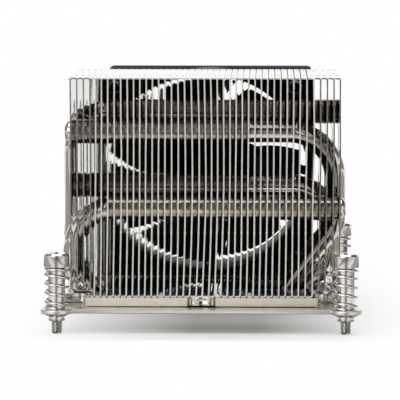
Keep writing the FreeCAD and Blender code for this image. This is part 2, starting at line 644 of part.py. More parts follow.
def main():
    os.makedirs("parts", exist_ok=True)
    save("base_block", [make_base()])
    save("mounting_bracket", [make_bracket()])
    save("bracket_screws", [plate_screw(x, y) for x, y in plate_screw_places()])
    for name, pipe in pipes.items():
        save(name, [make_pipe(pipe)])
    for name, indices in fin_groups().items():
        save(name, [make_fin(index) for index in indices])
    save("fan_frame", [make_fan_frame()])
    save("fan_bearing", [make_fan_bearing()])
    save("fan_rotor", [make_fan_rotor()])
    save("fan_screws", [make_fan_screw(x, z) for x, z in fan_screw_places()])
    for corner, (x, y) in zip(corner_names, screw_places()):
        save("captive_screw_" + corner, [make_captive_screw(x, y)])
        save("retaining_clip_" + corner, [make_clip(x, y)])
        save("spring_" + corner, [make_spring(x, y)])


main()
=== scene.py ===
"""A 2U processor cooler: zipper fins on four bent heat pipes, a 60 mm fan behind, sprung captive screws.

Lengths are in millimetres until a piece is fitted. +Z is up through the fins, -Y is the open
side of the fin stack, and the fan stands on +Y.
"""

import bpy
import bmesh
import math
import random
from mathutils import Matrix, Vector, geometry


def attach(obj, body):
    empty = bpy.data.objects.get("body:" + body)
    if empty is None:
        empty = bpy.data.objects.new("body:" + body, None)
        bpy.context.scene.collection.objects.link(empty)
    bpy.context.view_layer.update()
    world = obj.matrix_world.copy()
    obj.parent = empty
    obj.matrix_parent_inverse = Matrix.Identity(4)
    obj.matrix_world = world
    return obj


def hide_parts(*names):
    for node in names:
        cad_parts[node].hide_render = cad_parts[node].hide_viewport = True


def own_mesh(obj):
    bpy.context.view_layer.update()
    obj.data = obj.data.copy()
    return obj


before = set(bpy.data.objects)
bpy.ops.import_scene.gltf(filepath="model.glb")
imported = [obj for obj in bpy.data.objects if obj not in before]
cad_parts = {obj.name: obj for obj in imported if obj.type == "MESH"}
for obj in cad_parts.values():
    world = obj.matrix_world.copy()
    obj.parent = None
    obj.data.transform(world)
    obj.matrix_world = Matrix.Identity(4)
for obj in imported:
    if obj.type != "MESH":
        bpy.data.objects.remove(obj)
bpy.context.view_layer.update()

MM = 0.001
TURN = 2 * math.pi
SHARP = math.radians(38)      # edges that turn more than this stay crisp
WELD = 1e-7                   # metres
CORNER_SHARE = 0.45           # the most of an edge that one rounded corner takes up
MITRE_LIMIT = 0.3             # keeps the inset of a sharp corner short
LAP = 0.2                     # how far joined forms of one piece run into each other
SKIN = 0.02                   # keeps faces of joined forms out of one plane

# Bracket and base block
PEDESTAL_SIDE = 48.0
BRACKET_BOTTOM = 0.7
BRACKET_TOP = 1.9
BRACKET_HALF_SIDE = 41.0
BRACKET_EDGE = 0.2
EAR_RADIUS = 4.5
EAR_HOLE_RADIUS = 2.45
SCREW_PLACE = 40.0            # captive screws stand at +-40, +-40
WINDOW_HALF_SIDE = 24.8
WINDOW_CORNER_RADIUS = 3.0
BASE_TOP = 4.55
TONGUE_HALF = (32.4, 36.5)
WING_HALF = (39.5, 27.0)
BASE_CORNER_RADIUS = 2.6
NOTCH_RADIUS = 3.9
CORNER_BREAK = 0.35
BASE_EDGE = 0.12
PEDESTAL_CORNER = 0.5
SEAM = 0.3                    # height of the shadow line where the base block meets the bracket
SEAM_DEPTH = 0.9
SEAM_REACH = 0.3              # how far the metal inside the seam reaches in under the pipes
SEAM_EDGE = 0.02
GROOVE_FLOOR = 2.25
GROOVE_LAP = 0.15
GROOVE_EDGE = 0.05
BLASTED_FACING = 0.6          # how far a face has to look along Y to be one of the blasted ends,
BLASTED_PLAY = (0.05, 0.2)    # and how far inside the notch's side and the end it may lie
PLATE_SCREW_PLACE = (34.5, 13.5)
PLATE_SCREW_RADIUS = 1.25
PLATE_SCREW_HEAD_RADIUS = 2.3
PLATE_SCREW_LENGTH = 3.2
PLATE_SCREW_PLAY = 0.08
PLATE_SCREW_ROUNDING = 0.1
EDGE_BREAK = 0.14             # radius of a broken sharp edge
EDGE_STEPS = 3

# Heat pipes
PIPE_RADIUS = 3.0
PIPE_LOW_Z = 3.4
PIPE_FLAT = 2.2               # thickness of the flattened run in the base
PIPE_WIDTH = 8.169            # width of the flattened run
FLATTEN_RUN = 2.0
LOWER_BEND_REACH = 3.49
PIPE_SLOPE = math.radians(53.0)
KNEE_BEND = 7.0
PIPE_TAIL = 28.0
PIPE_SIDES = 36
PIPE_ARC_STEP = math.radians(5.0)
PIPE_FIT = 0.05
SWAGE = [(0.0, 0.45), (0.06, 0.58), (0.22, 0.70), (0.42, 0.80), (0.68, 0.90), (1.0, 0.97),
         (1.35, 1.0)]         # distance from the free end, share of the full radius

# Fins
FIN_COUNT = 43
FIN_PITCH = 1.78
FIN_THICKNESS = 0.4
FIN_FRONT = -35.0
FIN_REAR = 8.0
FIN_TOP = 65.7
FIN_BEND_RADIUS = 0.5         # middle of the sheet, round a flange's bend
FIN_BEND_STEPS = 4
FLANGE_GAP = 0.04             # hairline between a flange and the next fin
FIRST_FIN_X = -36.33
RAISED_END_FINS = 4
END_FIN_LIFT = 1.7
SLOTTED_LEFT = 7
SLOTTED_RIGHT = 14
SLOT_GAP = 0.4
SLOT_FOOT = 7.785             # height below which a slot is wider, round a flattened bend
SLOT_MOUTH = 9.0              # how far the cut of a slot runs out below the fin
SWAY_ROWS = 12                # rows of points that let a fin bow
SWAY_SEED = 11
BOW_PLAY = 0.05
LEAN_PLAY = 0.04
RIPPLE = 0.05
RIPPLE_WAVES = 1.5
POINT_WELD = 1e-5
COLLAR_RADIUS = 3.42
COLLAR_ROOT = 0.42            # flare where a collar leaves its fin
COLLAR_FLARE = ((1.0, 0.0), (0.35, 0.2), (0.08, 0.55), (0.0, 1.0))  # out and along, in shares of the root
COLLAR_RIM = ((-0.03, 0.05), (-0.12, 0.0))  # off the radius and off the tip
COLLAR_SIDES = 28
COLLAR_FACING = 0.95          # faces that look along X more than this are sheet
EDGE_FACING = 0.7             # faces that look along Y more than this are sheared edges
LOCK_ROWS = (-24.0, 3.6)      # Y of the interlocks on the top flanges
FOOT_LOCK_ROW = -21.7         # and on the bottom flanges
LOCK_LENGTH = 2.6
WINDOW_START = 0.05           # from a flange's bend to the window of an interlock
WINDOW_HEIGHT = 0.42
TAB_SHARE = 0.3               # half a tab's length over its window's length
TAB_EDGE = 0.05
HOOK_REACH = (0.1, 0.9)       # along X, off the face of the next fin
FOOT_HOOK = (0.12, 0.35)      # off the fin's bottom and off the flange's inner face
TOP_HOOK = (-0.42, -0.12)     # off the fin's top
TANG_REACH = (-1.05, -0.55)   # along X, off the fin's own face
TANG = (-0.45, 0.05)          # off the top flange's inner face
NIB_HEIGHT = 22.7             # parting nib on the front edge of each fin
NIB_SIDE = 0.05
NIB_DEPTH = (-0.06, 0.3)      # off the front edge
NIB_RISE = (-0.3, 0.25)
NIB_EDGE = 0.04

# Fan
FAN_CENTRE = (1.05, 35.45)
FAN_HALF = 30.0
FAN_FRONT = 8.0
FAN_REAR = 33.0
FAN_FLANGE = 3.6
FAN_FLANGE_EDGE = 0.25
FAN_BORE = 28.5
FAN_BARREL = 29.8
BARREL_LAP = 0.4              # how far the flanges run into the barrel
FAN_LIP = 0.8
LIP_BULGE = 0.3               # middle of the lip's slope, as a share of the lip
FAN_CORNER = 1.4
FAN_HOLE_PLACE = 25.0
FAN_HOLE_RADIUS = 2.15
MOTOR_RADIUS = 13.5
MOTOR_THICKNESS = 2.6
MOTOR_EDGE = 0.4
STRUT_COUNT = 4
STRUT_WIDTH = 2.4
STRUT_EDGE = 0.5
STRUT_INSET = 1.0             # from the motor plate's rim to a strut's outer side
STRUT_LAP = 0.6               # how far a strut runs into the barrel
STRUT_TURN = 0.25             # of the way from one strut to the next
ROTOR_FRONT = 11.1
ROTOR_REAR = 30.1
HUB = [(0, ROTOR_FRONT + 0.6), (MOTOR_RADIUS - 1.2, ROTOR_FRONT + 0.6), (MOTOR_RADIUS - 1.0, ROTOR_FRONT),
       (MOTOR_RADIUS, ROTOR_FRONT), (MOTOR_RADIUS, ROTOR_REAR), (MOTOR_RADIUS - 4.0, ROTOR_REAR),
       (MOTOR_RADIUS - 4.3, ROTOR_REAR - 0.35), (0, ROTOR_REAR - 0.35)]  # radius and depth
HUB_SHOULDER = 3              # number of the hub's front outer corner
HUB_ROUNDING = (0.25, 1.0)    # in front of the shoulder and behind it
BLADE_COUNT = 7
BLADE_TIP = 26.9
BLADE_ROOT_SPAN = math.radians(47.0)
BLADE_TIP_SPAN = math.radians(43.0)
BLADE_ROOT_LENGTH = 16.5
BLADE_TIP_LENGTH = 13.4
BLADE_CAMBER = 1.6
BLADE_THICKNESS = 1.15
BLADE_EDGE = 0.35             # thickness of the edges over the thickness of the middle
BLADE_LAP = 0.8               # how far a blade runs into the hub
BLADE_PHASE = math.radians(29.1)
BLADE_SWEEP = math.radians(20.0)       # over the drawn length of a blade
BLADE_DRAWN = (11.5, 28.9)    # radii between which the sweep is spread
BLADE_STATIONS = 9
BLADE_CHORD_STEPS = 12

# Captive screws
THREAD_RADIUS = 1.7
THREAD_PITCH = 0.6
THREAD_DEPTH = 0.45
THREAD_STEPS = 44
THREAD_RUN = (0.3, -0.25)     # plain ends, off the tip and off the shank
THREAD_FADE = (0.1, -0.2)     # where the cut begins and ends, off the same
POINT_INSET = (0.55, 0.5)     # how much narrower the tip's face and the cone's start are
SCREW_TIP = -4.9
SHANK_BOTTOM = -1.3
SCREW_ROUNDING = 0.16
SHANK_RADIUS = 2.35
GROOVE_RADIUS = 1.95
GROOVE_BOTTOM = 0.1
HEAD_RADIUS = 3.53
HEAD_BOTTOM = 13.7
HEAD_TOP = 17.4
HEAD_CHAMFER = 0.45
DRIVE_WIDTH = 1.1
DRIVE_LENGTH = 4.2
DRIVE_DEPTH = 2.0
DRIVE_ROUNDING = 0.22
DRIVE_TAPER = ((1.0, 0.0), (0.93, 0.12), (0.72, 0.75), (0.45, 1.0))  # share of the width, share of the depth
SCREW_SIDES = 48
CLIP_RADIUS = 3.1
CLIP_HOLE = 2.0
CLIP_BOTTOM = 0.15
CLIP_THICKNESS = 0.5
CLIP_EDGE = 0.08
CLIP_MOUTH = 0.8              # half the mouth over the radius of the hole
SPRING_RADIUS = 3.175
SPRING_WIRE = 0.37
SPRING_TURNS = 3.85           # open turns
SPRING_END_TURNS = 0.75       # closed turns at each end
SPRING_PLAY = 0.05
SPRING_CUT = 0.75             # size of the wire's cut ends over the wire
SPRING_STEPS = 32
SPRING_WIRE_SIDES = 14
CORNERS = {"front_left": (-1, -1), "front_right": (1, -1), "rear_left": (-1, 1), "rear_right": (1, 1)}

# Fan screws
FAN_SCREW_RADIUS = 1.5
FAN_SCREW_HEAD_RADIUS = 2.9
FAN_SCREW_HEAD = 2.2
FAN_SCREW_BITE = 4.0
FAN_SCREW_POINT = (0.35, 1.6)  # radius and length
FAN_SCREW_RIM = 0.72          # flat of the head over the head
FAN_SCREW_SIDE = 0.45         # upright side of the head over its height
FAN_SCREW_ROUNDING = (0.12, 1.1)  # under the head and over it

# Finishes
NOISE_RANGE = (0.3, 0.7)      # the part of a noise that is used
EVEN_POINTINESS = 0.52        # a little more than a flat face has
WEAR_SCALE = 900.0
WEAR_RANGE = (0.35, 0.6)
DUST_SCALE = 1400.0
DUST_RANGE = (0.45, 0.75)
DUST_SLOPE = (0.2, 1.0)       # how far a face has to look up to catch dust
DUST_ROUGHNESS = 0.4

# Studio, in metres but for the camera. A ramp is (from, to, tone before, tone after).
TABLE_HALF = 12.0
TABLE_WHITE = {"y": ((-0.050, -0.056), (0.10, 0.22)),    # where the camera begins to see, and sees,
               "x": ((-0.002, -0.056), (0.016, 0.064))}  # the table as plain white
# In reflections the table glows with painted shade: darker far in front (NEAR_RAMP) and in a lane fanning out
# in front of each screw.
LANE_ORIGIN = -0.035          # Y from which a lane in front of each screw fans out
LANE_NEAREST = 0.002
LANE_RAMPS = ((0.10, 0.26, 0.35, 1.0), (0.30, 0.55, 0.72, 1.0))
NEAR_RAMP = (-0.30, -0.10, 0.48, 1.0)
# Patches of painted shade on the table, seen only in reflections, alike at the left and at the right: from
# inner to outer
#  across, from start to end along Y, how dark and how soft at the rim.
PAINTED_SHADE_PATCHES = (dict(inner=-1.0, outer=0.068, start=-0.055, end=-0.022, depth=0.75, soft=0.008),
           dict(inner=-1.0, outer=0.125, start=0.005, end=0.11, depth=0.65, soft=0.012),
           dict(inner=0.085, outer=1.5, start=-0.10, end=0.16, depth=0.60, soft=0.012))
WORLD_FILL = 0.7              # strength of the light that isn't seen straight or in metal
BAND_RAMP = (0.22, 0.45, 0.95, 0.14)     # upwards
STAND_RAMP = (0.16, 0.26, 0.08, 1.0)     # off the dark stand's middle
STAND_PLACE = 0.16
STAND_NEAREST = 0.01
LEFT_RAMP = (-0.65, -0.45, 1.0, 0.0)     # across
FLANK_RAMP = (-0.35, -0.10, 1.0, 0.28)   # from the front round to the flanks
BEHIND_RAMP = (0.55, 0.8, 0.0, 1.0)      # towards the back
CLIP_RANGE = (0.01, 100.0)               # nearest and furthest that the camera sees
SOFTBOX_AIM = (0.0, 0.0, 0.03)
# Camera, in millimetres
LENS = 272.0
SENSOR = 36.0
CAMERA_PLACE = (20.5, -869.0, 114.5)
CAMERA_AIM = (-1.3, 0.0, 28.3)


# ---------------------------------------------------------------- shaping

class Stock:
    """Points and faces of one piece, in millimetres."""

    def __init__(self):
        self.points = []
        self.faces = []

    def add(self, points, faces, place=None):
        first = len(self.points)
        self.points += [place(p) for p in points] if place else list(points)
        self.faces += [tuple(first + i for i in face) for face in faces]
        return self


def fit_piece(name, stock, body, finishes, stands_for=(), choose=None):
    """Make the object, give it its finish and let it ride on its body.

    choose(centre, normal) picks the finish of a face where a piece has more than one.
    """
    mesh = bpy.data.meshes.new(name)
    bm = bmesh.new()
    corners = [bm.verts.new(Vector(p) * MM) for p in stock.points]
    for face in stock.faces:
        if len(set(face)) > 2:
            bm.faces.new([corners[i] for i in face])
    bmesh.ops.remove_doubles(bm, verts=bm.verts, dist=WELD)
    bmesh.ops.dissolve_degenerate(bm, edges=bm.edges, dist=WELD)
    bmesh.ops.recalc_face_normals(bm, faces=bm.faces)
    if choose:
        for face in bm.faces:
            face.material_index = choose(face.calc_center_median() / MM, face.normal)
    bm.to_mesh(mesh)
    bm.free()
    for finish in finishes:
        mesh.materials.append(finish)
    mesh.shade_smooth()
    mesh.set_sharp_from_angle(angle=SHARP)
    piece = bpy.data.objects.new(name, mesh)
    bpy.context.scene.collection.objects.link(piece)
    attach(piece, body)
    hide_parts(*stands_for)
    return piece


def bridge(lower, upper):
    """Faces between two rings of point numbers. A ring of one point is an apex."""
    count = max(len(lower), len(upper))
    faces = []
    for i in range(count):
        j = (i + 1) % count
        a, b = lower[i % len(lower)], lower[j % len(lower)]
        c, d = upper[j % len(upper)], upper[i % len(upper)]
        faces.append(tuple(dict.fromkeys((a, b, c, d))))
    return faces


def circle(radius, x=0.0, y=0.0, sides=48, clockwise=False):
    turn = -TURN if clockwise else TURN
    return [(x + radius * math.cos(turn * i / sides), y + radius * math.sin(turn * i / sides))
            for i in range(sides)]


def arc(x, y, radius, start, end, steps):
    return [(x + radius * math.cos(start + (end - start) * i / steps),
             y + radius * math.sin(start + (end - start) * i / steps)) for i in range(steps + 1)]


def soften(line, radius, closed=True, steps=4):
    """Round the corners of an outline. A corner's arc never takes more than its share of an edge."""
    line = [Vector(p) for p in line]
    rounded = []
    for i, corner in enumerate(line):
        if not closed and i in (0, len(line) - 1):
            rounded.append(tuple(corner))
            continue
        back = line[i - 1] - corner
        ahead = line[(i + 1) % len(line)] - corner
        size = radius[i] if isinstance(radius, list) else radius
        reach = min(size, CORNER_SHARE * back.length, CORNER_SHARE * ahead.length)
        start = corner + back.normalized() * reach
        end = corner + ahead.normalized() * reach
        for k in range(steps + 1):
            t = k / steps
            rounded.append(tuple(start * (1 - t) ** 2 + corner * 2 * t * (1 - t) + end * t * t))
    return rounded


def inset(line, depth):
    """A closed outline moved into the metal, which lies on its left."""
    moved = []
    for i, (x, y) in enumerate(line):
        back = Vector((x - line[i - 1][0], y - line[i - 1][1])).normalized()
        nxt = line[(i + 1) % len(line)]
        ahead = Vector((nxt[0] - x, nxt[1] - y)).normalized()
        scale = depth / max(MITRE_LIMIT, 1 + back.dot(ahead))
        moved.append((x - (back.y + ahead.y) * scale, y + (back.x + ahead.x) * scale))
    return moved


def fill(loops):
    """Triangles of a flat region, as numbers into the loops laid end to end."""
    return geometry.tessellate_polygon([[Vector((x, y, 0)) for x, y in loop] for loop in loops])


def plate(outline, holes, low, high, edge=EDGE_BREAK):
    """Flat plate with broken edges. The outline runs anticlockwise, and holes run clockwise."""
    rings = []
    for k in range(EDGE_STEPS + 1):
        angle = math.pi / 2 * k / EDGE_STEPS
        rings.append((edge * (1 - math.sin(angle)), low + edge * (1 - math.cos(angle))))
    rings += [(depth, low + high - z) for depth, z in reversed(rings)]
    loops = [outline, *holes]
    points, faces = [], []
    rows = []
    for depth, z in rings:
        row = []
        for loop in loops:
            moved = inset(loop, depth)
            row.append(list(range(len(points), len(points) + len(loop))))
            points += [(x, y, z) for x, y in moved]
        rows.append(row)
    for lower, upper in zip(rows, rows[1:]):
        for a, b in zip(lower, upper):
            faces += bridge(a, b)
    for row, depth in ((rows[0], rings[0][0]), (rows[-1], rings[-1][0])):
        numbers = [n for ring in row for n in ring]
        faces += [tuple(numbers[i] for i in t) for t in fill([inset(loop, depth) for loop in loops])]
    return points, faces


def block(x0, x1, y0, y1, z0, z1, edge=EDGE_BREAK):
    return plate([(x0, y0), (x1, y0), (x1, y1), (x0, y1)], [], z0, z1, edge)


def shifted(x, y):
    """A placing that moves points sideways."""
    return lambda p: (x + p[0], y + p[1], p[2])


def turn(profile, sides=SCREW_SIDES, thread=None, closed=False):
    """Turned piece round Z, from (radius, height) pairs. thread(angle, height) is cut off the radius."""
    points, rings = [], []
    for radius, z in profile:
        first = len(points)
        if not radius:
            points.append((0, 0, z))
            rings.append([first])
            continue
        for i in range(sides):
            angle = TURN * i / sides
            r = radius - thread(angle, z) if thread else radius
            points.append((r * math.cos(angle), r * math.sin(angle), z))
        rings.append(list(range(first, first + sides)))
    if closed:
        rings.append(rings[0])
    faces = []
    for lower, upper in zip(rings, rings[1:]):
        faces += bridge(lower, upper)
    return points, faces


def cross_recess(rim, z, depth, width=DRIVE_WIDTH, length=DRIVE_LENGTH, sides=SCREW_SIDES):
    """Flat head face at height z with a tapered cross drive sunk in it."""
    w, r = width / 2, length / 2
    cross = [(w, -r), (w, -w), (r, -w), (r, w), (w, w), (w, r), (-w, r), (-w, w), (-r, w), (-r, -w),
             (-w, -w), (-w, -r)]
    cross = soften(cross, DRIVE_ROUNDING, steps=2)
    cross.reverse()
    rim_loop = circle(rim, sides=sides)
    points = [(x, y, z) for x, y in rim_loop]
    rings = []
    for share, down in DRIVE_TAPER:
        rings.append(list(range(len(points), len(points) + len(cross))))
        points += [(x * share, y * share, z - down * depth) for x, y in cross]
    faces = [tuple(t) for t in fill([rim_loop, cross])]
    for upper, lower in zip(rings, rings[1:]):
        faces += bridge(upper, lower)
    faces += [tuple(rings[-1][i] for i in t) for t in fill([cross])]
    return points, faces


def sweep(centres, sides_of, outlines):
    """Bar along a line of centres. At each centre there is a direction across the line and an outline."""
    points, rings = [], []
    last = len(centres) - 1
    for k, (centre, across, outline) in enumerate(zip(centres, sides_of, outlines)):
        along = (centres[min(k + 1, last)] - centres[max(k - 1, 0)]).normalized()
        up = along.cross(across).normalized()
        out = up.cross(along)
        rings.append(list(range(len(points), len(points) + len(outline))))
        points += [tuple(centre + out * x + up * y) for x, y in outline]
    faces = [tuple(rings[0])[::-1], tuple(rings[-1])]
    for a, b in zip(rings, rings[1:]):
        faces += bridge(a, b)
    return points, faces


# ---------------------------------------------------------------- finishes

def effect(name, inputs, outputs):
    """An empty shader node group with named sockets."""
    group = bpy.data.node_groups.new(name, "ShaderNodeTree")
    for label, kind, value in inputs:
        socket = group.interface.new_socket(label, in_out="INPUT", socket_type=kind)
        socket.default_value = value
    for label, kind in outputs:
        group.interface.new_socket(label, in_out="OUTPUT", socket_type=kind)
    nodes = group.nodes
    return group, nodes.new("NodeGroupInput"), nodes.new("NodeGroupOutput")


def feed(tree, slot, value):
    """Give an input a colour, a number or what another node puts out."""
    if isinstance(value, bpy.types.NodeSocket):
        tree.links.new(value, slot)
    else:
        slot.default_value = (*value, 1.0) if isinstance(value, tuple) else value


def math_node(tree, operation, a, b=0.0):
    node = tree.nodes.new("ShaderNodeMath")
    node.operation = operation
    feed(tree, node.inputs[0], a)
    feed(tree, node.inputs[1], b)
    return node.outputs[0]


def spread(tree, value, low, high, to_low=0.0, to_high=1.0):
    """A value between low and high, spread over another range and held inside it."""
    node = tree.nodes.new("ShaderNodeMapRange")
    given = {"Value": value, "From Min": low, "From Max": high, "To Min": to_low, "To Max": to_high}
    for label, number in given.items():
        feed(tree, node.inputs[label], number)
    return node.outputs["Result"]


def axes(tree, vector):
    node = tree.nodes.new("ShaderNodeSeparateXYZ")
    tree.links.new(vector, node.inputs[0])
    return node.outputs


def noise(tree, scale, detail, roughness=0.6, stretch=None):
    """Noise in the piece's own coordinates, which may be stretched first."""
    place = tree.nodes.new("ShaderNodeTexCoord").outputs["Object"]
    if stretch is not None:
        scaled = tree.nodes.new("ShaderNodeVectorMath")
        scaled.operation = "MULTIPLY"
        tree.links.new(place, scaled.inputs[0])
        tree.links.new(stretch, scaled.inputs[1])
        place = scaled.outputs[0]
    node = tree.nodes.new("ShaderNodeTexNoise")
    for label, value in (("Vector", place), ("Scale", scale), ("Detail", detail), ("Roughness", roughness)):
        feed(tree, node.inputs[label], value)
    return node.outputs["Fac"]


def make_grain():
    """Grain of a surface, stretched along the way it was rolled, drawn or blasted."""
    group, given, put = effect(
        "surface_grain",
        [("Stretch", "NodeSocketVector", (1, 1, 1)), ("Size", "NodeSocketFloat", 0.2)],
        [("Mask", "NodeSocketFloat"), ("Height", "NodeSocketFloat")])
    count = math_node(group, "DIVIDE", 1 / MM, given.outputs["Size"])
    grains = noise(group, count, detail=5.0, stretch=given.outputs["Stretch"])
    group.links.new(spread(group, grains, *NOISE_RANGE), put.inputs["Mask"])
    group.links.new(grains, put.inputs["Height"])
    return group


def make_clouding():
    """Slow change of tone over plating or plastic."""
    group, given, put = effect("clouding", [("Size", "NodeSocketFloat", 12.0)],
                               [("Mask", "NodeSocketFloat")])
    count = math_node(group, "DIVIDE", 1 / MM, given.outputs["Size"])
    clouds = noise(group, count, detail=2.0)
    group.links.new(spread(group, clouds, *NOISE_RANGE), put.inputs["Mask"])
    return group


def make_edge_wear():
    """Rubbed outer edges, broken up so that the wear isn't even."""
    group, given, put = effect("edge_wear", [("Reach", "NodeSocketFloat", 0.06)],
                               [("Mask", "NodeSocketFloat")])
    shape = group.nodes.new("ShaderNodeNewGeometry")
    top = math_node(group, "ADD", EVEN_POINTINESS, given.outputs["Reach"])
    edges = spread(group, shape.outputs["Pointiness"], EVEN_POINTINESS, top)
    broken = spread(group, noise(group, WEAR_SCALE, detail=4.0), *WEAR_RANGE)
    group.links.new(math_node(group, "MULTIPLY", edges, broken), put.inputs["Mask"])
    return group


def make_dust():
    """Fine dust on faces that look up."""
    group, given, put = effect("settled_dust", [("Amount", "NodeSocketFloat", 0.2)],
                               [("Mask", "NodeSocketFloat")])
    shape = group.nodes.new("ShaderNodeNewGeometry")
    up = spread(group, axes(group, shape.outputs["Normal"])["Z"], *DUST_SLOPE)
    fine = spread(group, noise(group, DUST_SCALE, detail=8.0, roughness=0.7), *DUST_RANGE)
    share = math_node(group, "MULTIPLY", up, fine)
    group.links.new(math_node(group, "MULTIPLY", share, given.outputs["Amount"]), put.inputs["Mask"])
    return group


GRAIN = make_grain()
CLOUDING = make_clouding()
EDGE_WEAR = make_edge_wear()
DUST = make_dust()


def place_effect(tree, group, **values):
    node = tree.nodes.new("ShaderNodeGroup")
    node.node_tree = group
    for label, value in values.items():
        node.inputs[label].default_value = value
    return node


def mix_colour(tree, share, a, b):
    node = tree.nodes.new("ShaderNodeMix")
    node.data_type = "RGBA"
    tree.links.new(share, node.inputs["Factor"])
    for label, value in (("A", a), ("B", b)):
        feed(tree, [s for s in node.inputs if s.name == label and s.type == "RGBA"][0], value)
    return [s for s in node.outputs if s.type == "RGBA"][0]


def finish(name, colour, clouded, worn, roughness, metallic=1.0, stretch=(1.0, 1.0, 1.0), grain=0.2,
           relief=0.01, cloud=12.0, dust=0.15, wear=0.06, dust_colour=(0.62, 0.61, 0.59), specular=0.5):
    """A procedural finish. Roughness is a pair, from the smooth to the rough parts of the grain.

    relief is the height of the grain in millimetres.
    """
    material = bpy.data.materials.new(name)
    material.use_nodes = True
    tree = material.node_tree
    shader = tree.nodes["Principled BSDF"]
    shader.inputs["Metallic"].default_value = metallic
    shader.inputs["Specular IOR Level"].default_value = specular
    grains = place_effect(tree, GRAIN, Stretch=stretch, Size=grain)
    clouds = place_effect(tree, CLOUDING, Size=cloud)
    edges = place_effect(tree, EDGE_WEAR, Reach=wear)
    dusting = place_effect(tree, DUST, Amount=dust)
    tone = mix_colour(tree, clouds.outputs["Mask"], colour, clouded)
    tone = mix_colour(tree, edges.outputs["Mask"], tone, worn)
    tone = mix_colour(tree, dusting.outputs["Mask"], tone, dust_colour)
    tree.links.new(tone, shader.inputs["Base Color"])
    gloss = spread(tree, grains.outputs["Mask"], 0.0, 1.0, *roughness)
    dulled = math_node(tree, "MULTIPLY", dusting.outputs["Mask"], DUST_ROUGHNESS)
    tree.links.new(math_node(tree, "ADD", gloss, dulled), shader.inputs["Roughness"])
    bump = tree.nodes.new("ShaderNodeBump")
    bump.inputs["Strength"].default_value = 1.0
    bump.inputs["Distance"].default_value = relief * MM
    tree.links.new(grains.outputs["Height"], bump.inputs["Height"])
    tree.links.new(bump.outputs["Normal"], shader.inputs["Normal"])
    material.diffuse_color = (*colour, 1.0)
    return material


FIN_SHEET = finish("rolled_fin_sheet", (0.81, 0.79, 0.76), (0.77, 0.75, 0.72), (0.90, 0.88, 0.85),
                   (0.03, 0.07), metallic=0.78, stretch=(1.0, 1.0, 0.08), grain=0.5, relief=0.0002,
                   cloud=18.0, dust=0.03)
FIN_EDGE = finish("sheared_fin_edge", (0.74, 0.71, 0.66), (0.70, 0.67, 0.62), (0.84, 0.82, 0.78),
                  (0.30, 0.42), metallic=0.45, stretch=(1.0, 1.0, 0.2), grain=0.3, relief=0.002, cloud=6.0)
# Painted shade: the front edges of the four raised fins at each end are coloured darker than the other
# sheared edges.
SHADED_END_FIN_EDGE = finish("painted_shade_end_fin_edge", (0.42, 0.41, 0.39), (0.36, 0.35, 0.33), (0.60, 0.59, 0.57),
                      (0.20, 0.30), metallic=0.9, stretch=(1.0, 1.0, 0.2), grain=0.3, relief=0.002, cloud=6.0)
PIPE_NICKEL = finish("drawn_pipe_nickel", (0.76, 0.72, 0.66), (0.68, 0.64, 0.58), (0.88, 0.84, 0.78),
                     (0.03, 0.08), stretch=(0.15, 1.0, 1.0), grain=0.5, relief=0.001, cloud=9.0)
COLLAR = finish("drawn_fin_collar", (0.50, 0.44, 0.37), (0.45, 0.39, 0.32), (0.80, 0.75, 0.68),
                (0.18, 0.26), stretch=(0.3, 1.0, 1.0), grain=0.5, relief=0.0005, cloud=7.0)
# Painted shade: a darker copy of the collar finish for the rear pipes, which lie deeper in the fin stack.
SHADED_REAR_COLLAR = finish("painted_shade_rear_fin_collar", (0.34, 0.29, 0.23), (0.29, 0.25, 0.20), (0.6, 0.55, 0.48),
                     (0.18, 0.26), stretch=(0.3, 1.0, 1.0), grain=0.5, relief=0.0005, cloud=7.0)
BASE_BLASTED = finish("blasted_base_nickel", (0.90, 0.84, 0.76), (0.86, 0.80, 0.72), (0.92, 0.88, 0.82),
                      (0.42, 0.6), grain=0.16, relief=0.02, cloud=10.0, dust=0.05)
BASE_POLISHED = finish("milled_base_nickel", (0.79, 0.76, 0.71), (0.74, 0.71, 0.66), (0.88, 0.86, 0.82),
                       (0.04, 0.10), stretch=(1.0, 1.0, 0.1), grain=0.4, relief=0.001)
BRACKET_STEEL = finish("plated_bracket_steel", (0.90, 0.87, 0.82), (0.84, 0.81, 0.76), (0.93, 0.91, 0.88),
                       (0.26, 0.4), stretch=(0.1, 1.0, 1.0), grain=0.3, relief=0.004)
SCREW_STEEL = finish("turned_screw_steel", (0.80, 0.78, 0.74), (0.74, 0.72, 0.68), (0.92, 0.91, 0.88),
                     (0.08, 0.16), stretch=(1.0, 1.0, 6.0), grain=0.8, relief=0.003)
CLIP_STEEL = finish("spring_clip_steel", (0.45, 0.44, 0.42), (0.38, 0.37, 0.36), (0.7, 0.69, 0.67),
                    (0.22, 0.36), grain=0.2, relief=0.003)
SPRING_STEEL = finish("drawn_spring_wire", (0.92, 0.90, 0.87), (0.86, 0.84, 0.81), (0.95, 0.94, 0.92),
                      (0.12, 0.22), grain=0.15, relief=0.003)
FAN_FRAME_BLACK = finish("moulded_fan_frame", (0.060, 0.064, 0.070), (0.068, 0.072, 0.078),
                         (0.05, 0.052, 0.055), (0.36, 0.52), metallic=0.0, grain=0.12, relief=0.006,
                         dust=0.10, dust_colour=(0.2, 0.2, 0.2), specular=0.03)
FAN_ROTOR_BLACK = finish("moulded_fan_rotor", (0.066, 0.064, 0.063), (0.074, 0.072, 0.071),
                         (0.045, 0.045, 0.05), (0.30, 0.45), metallic=0.0, grain=0.1, relief=0.005,
                         dust=0.08, dust_colour=(0.2, 0.2, 0.2), specular=0.03)
FAN_SCREW_BLACK = finish("black_oxide_screw", (0.035, 0.035, 0.036), (0.05, 0.049, 0.047),
                         (0.3, 0.29, 0.28), (0.28, 0.42), metallic=0.8, grain=0.15, relief=0.004)
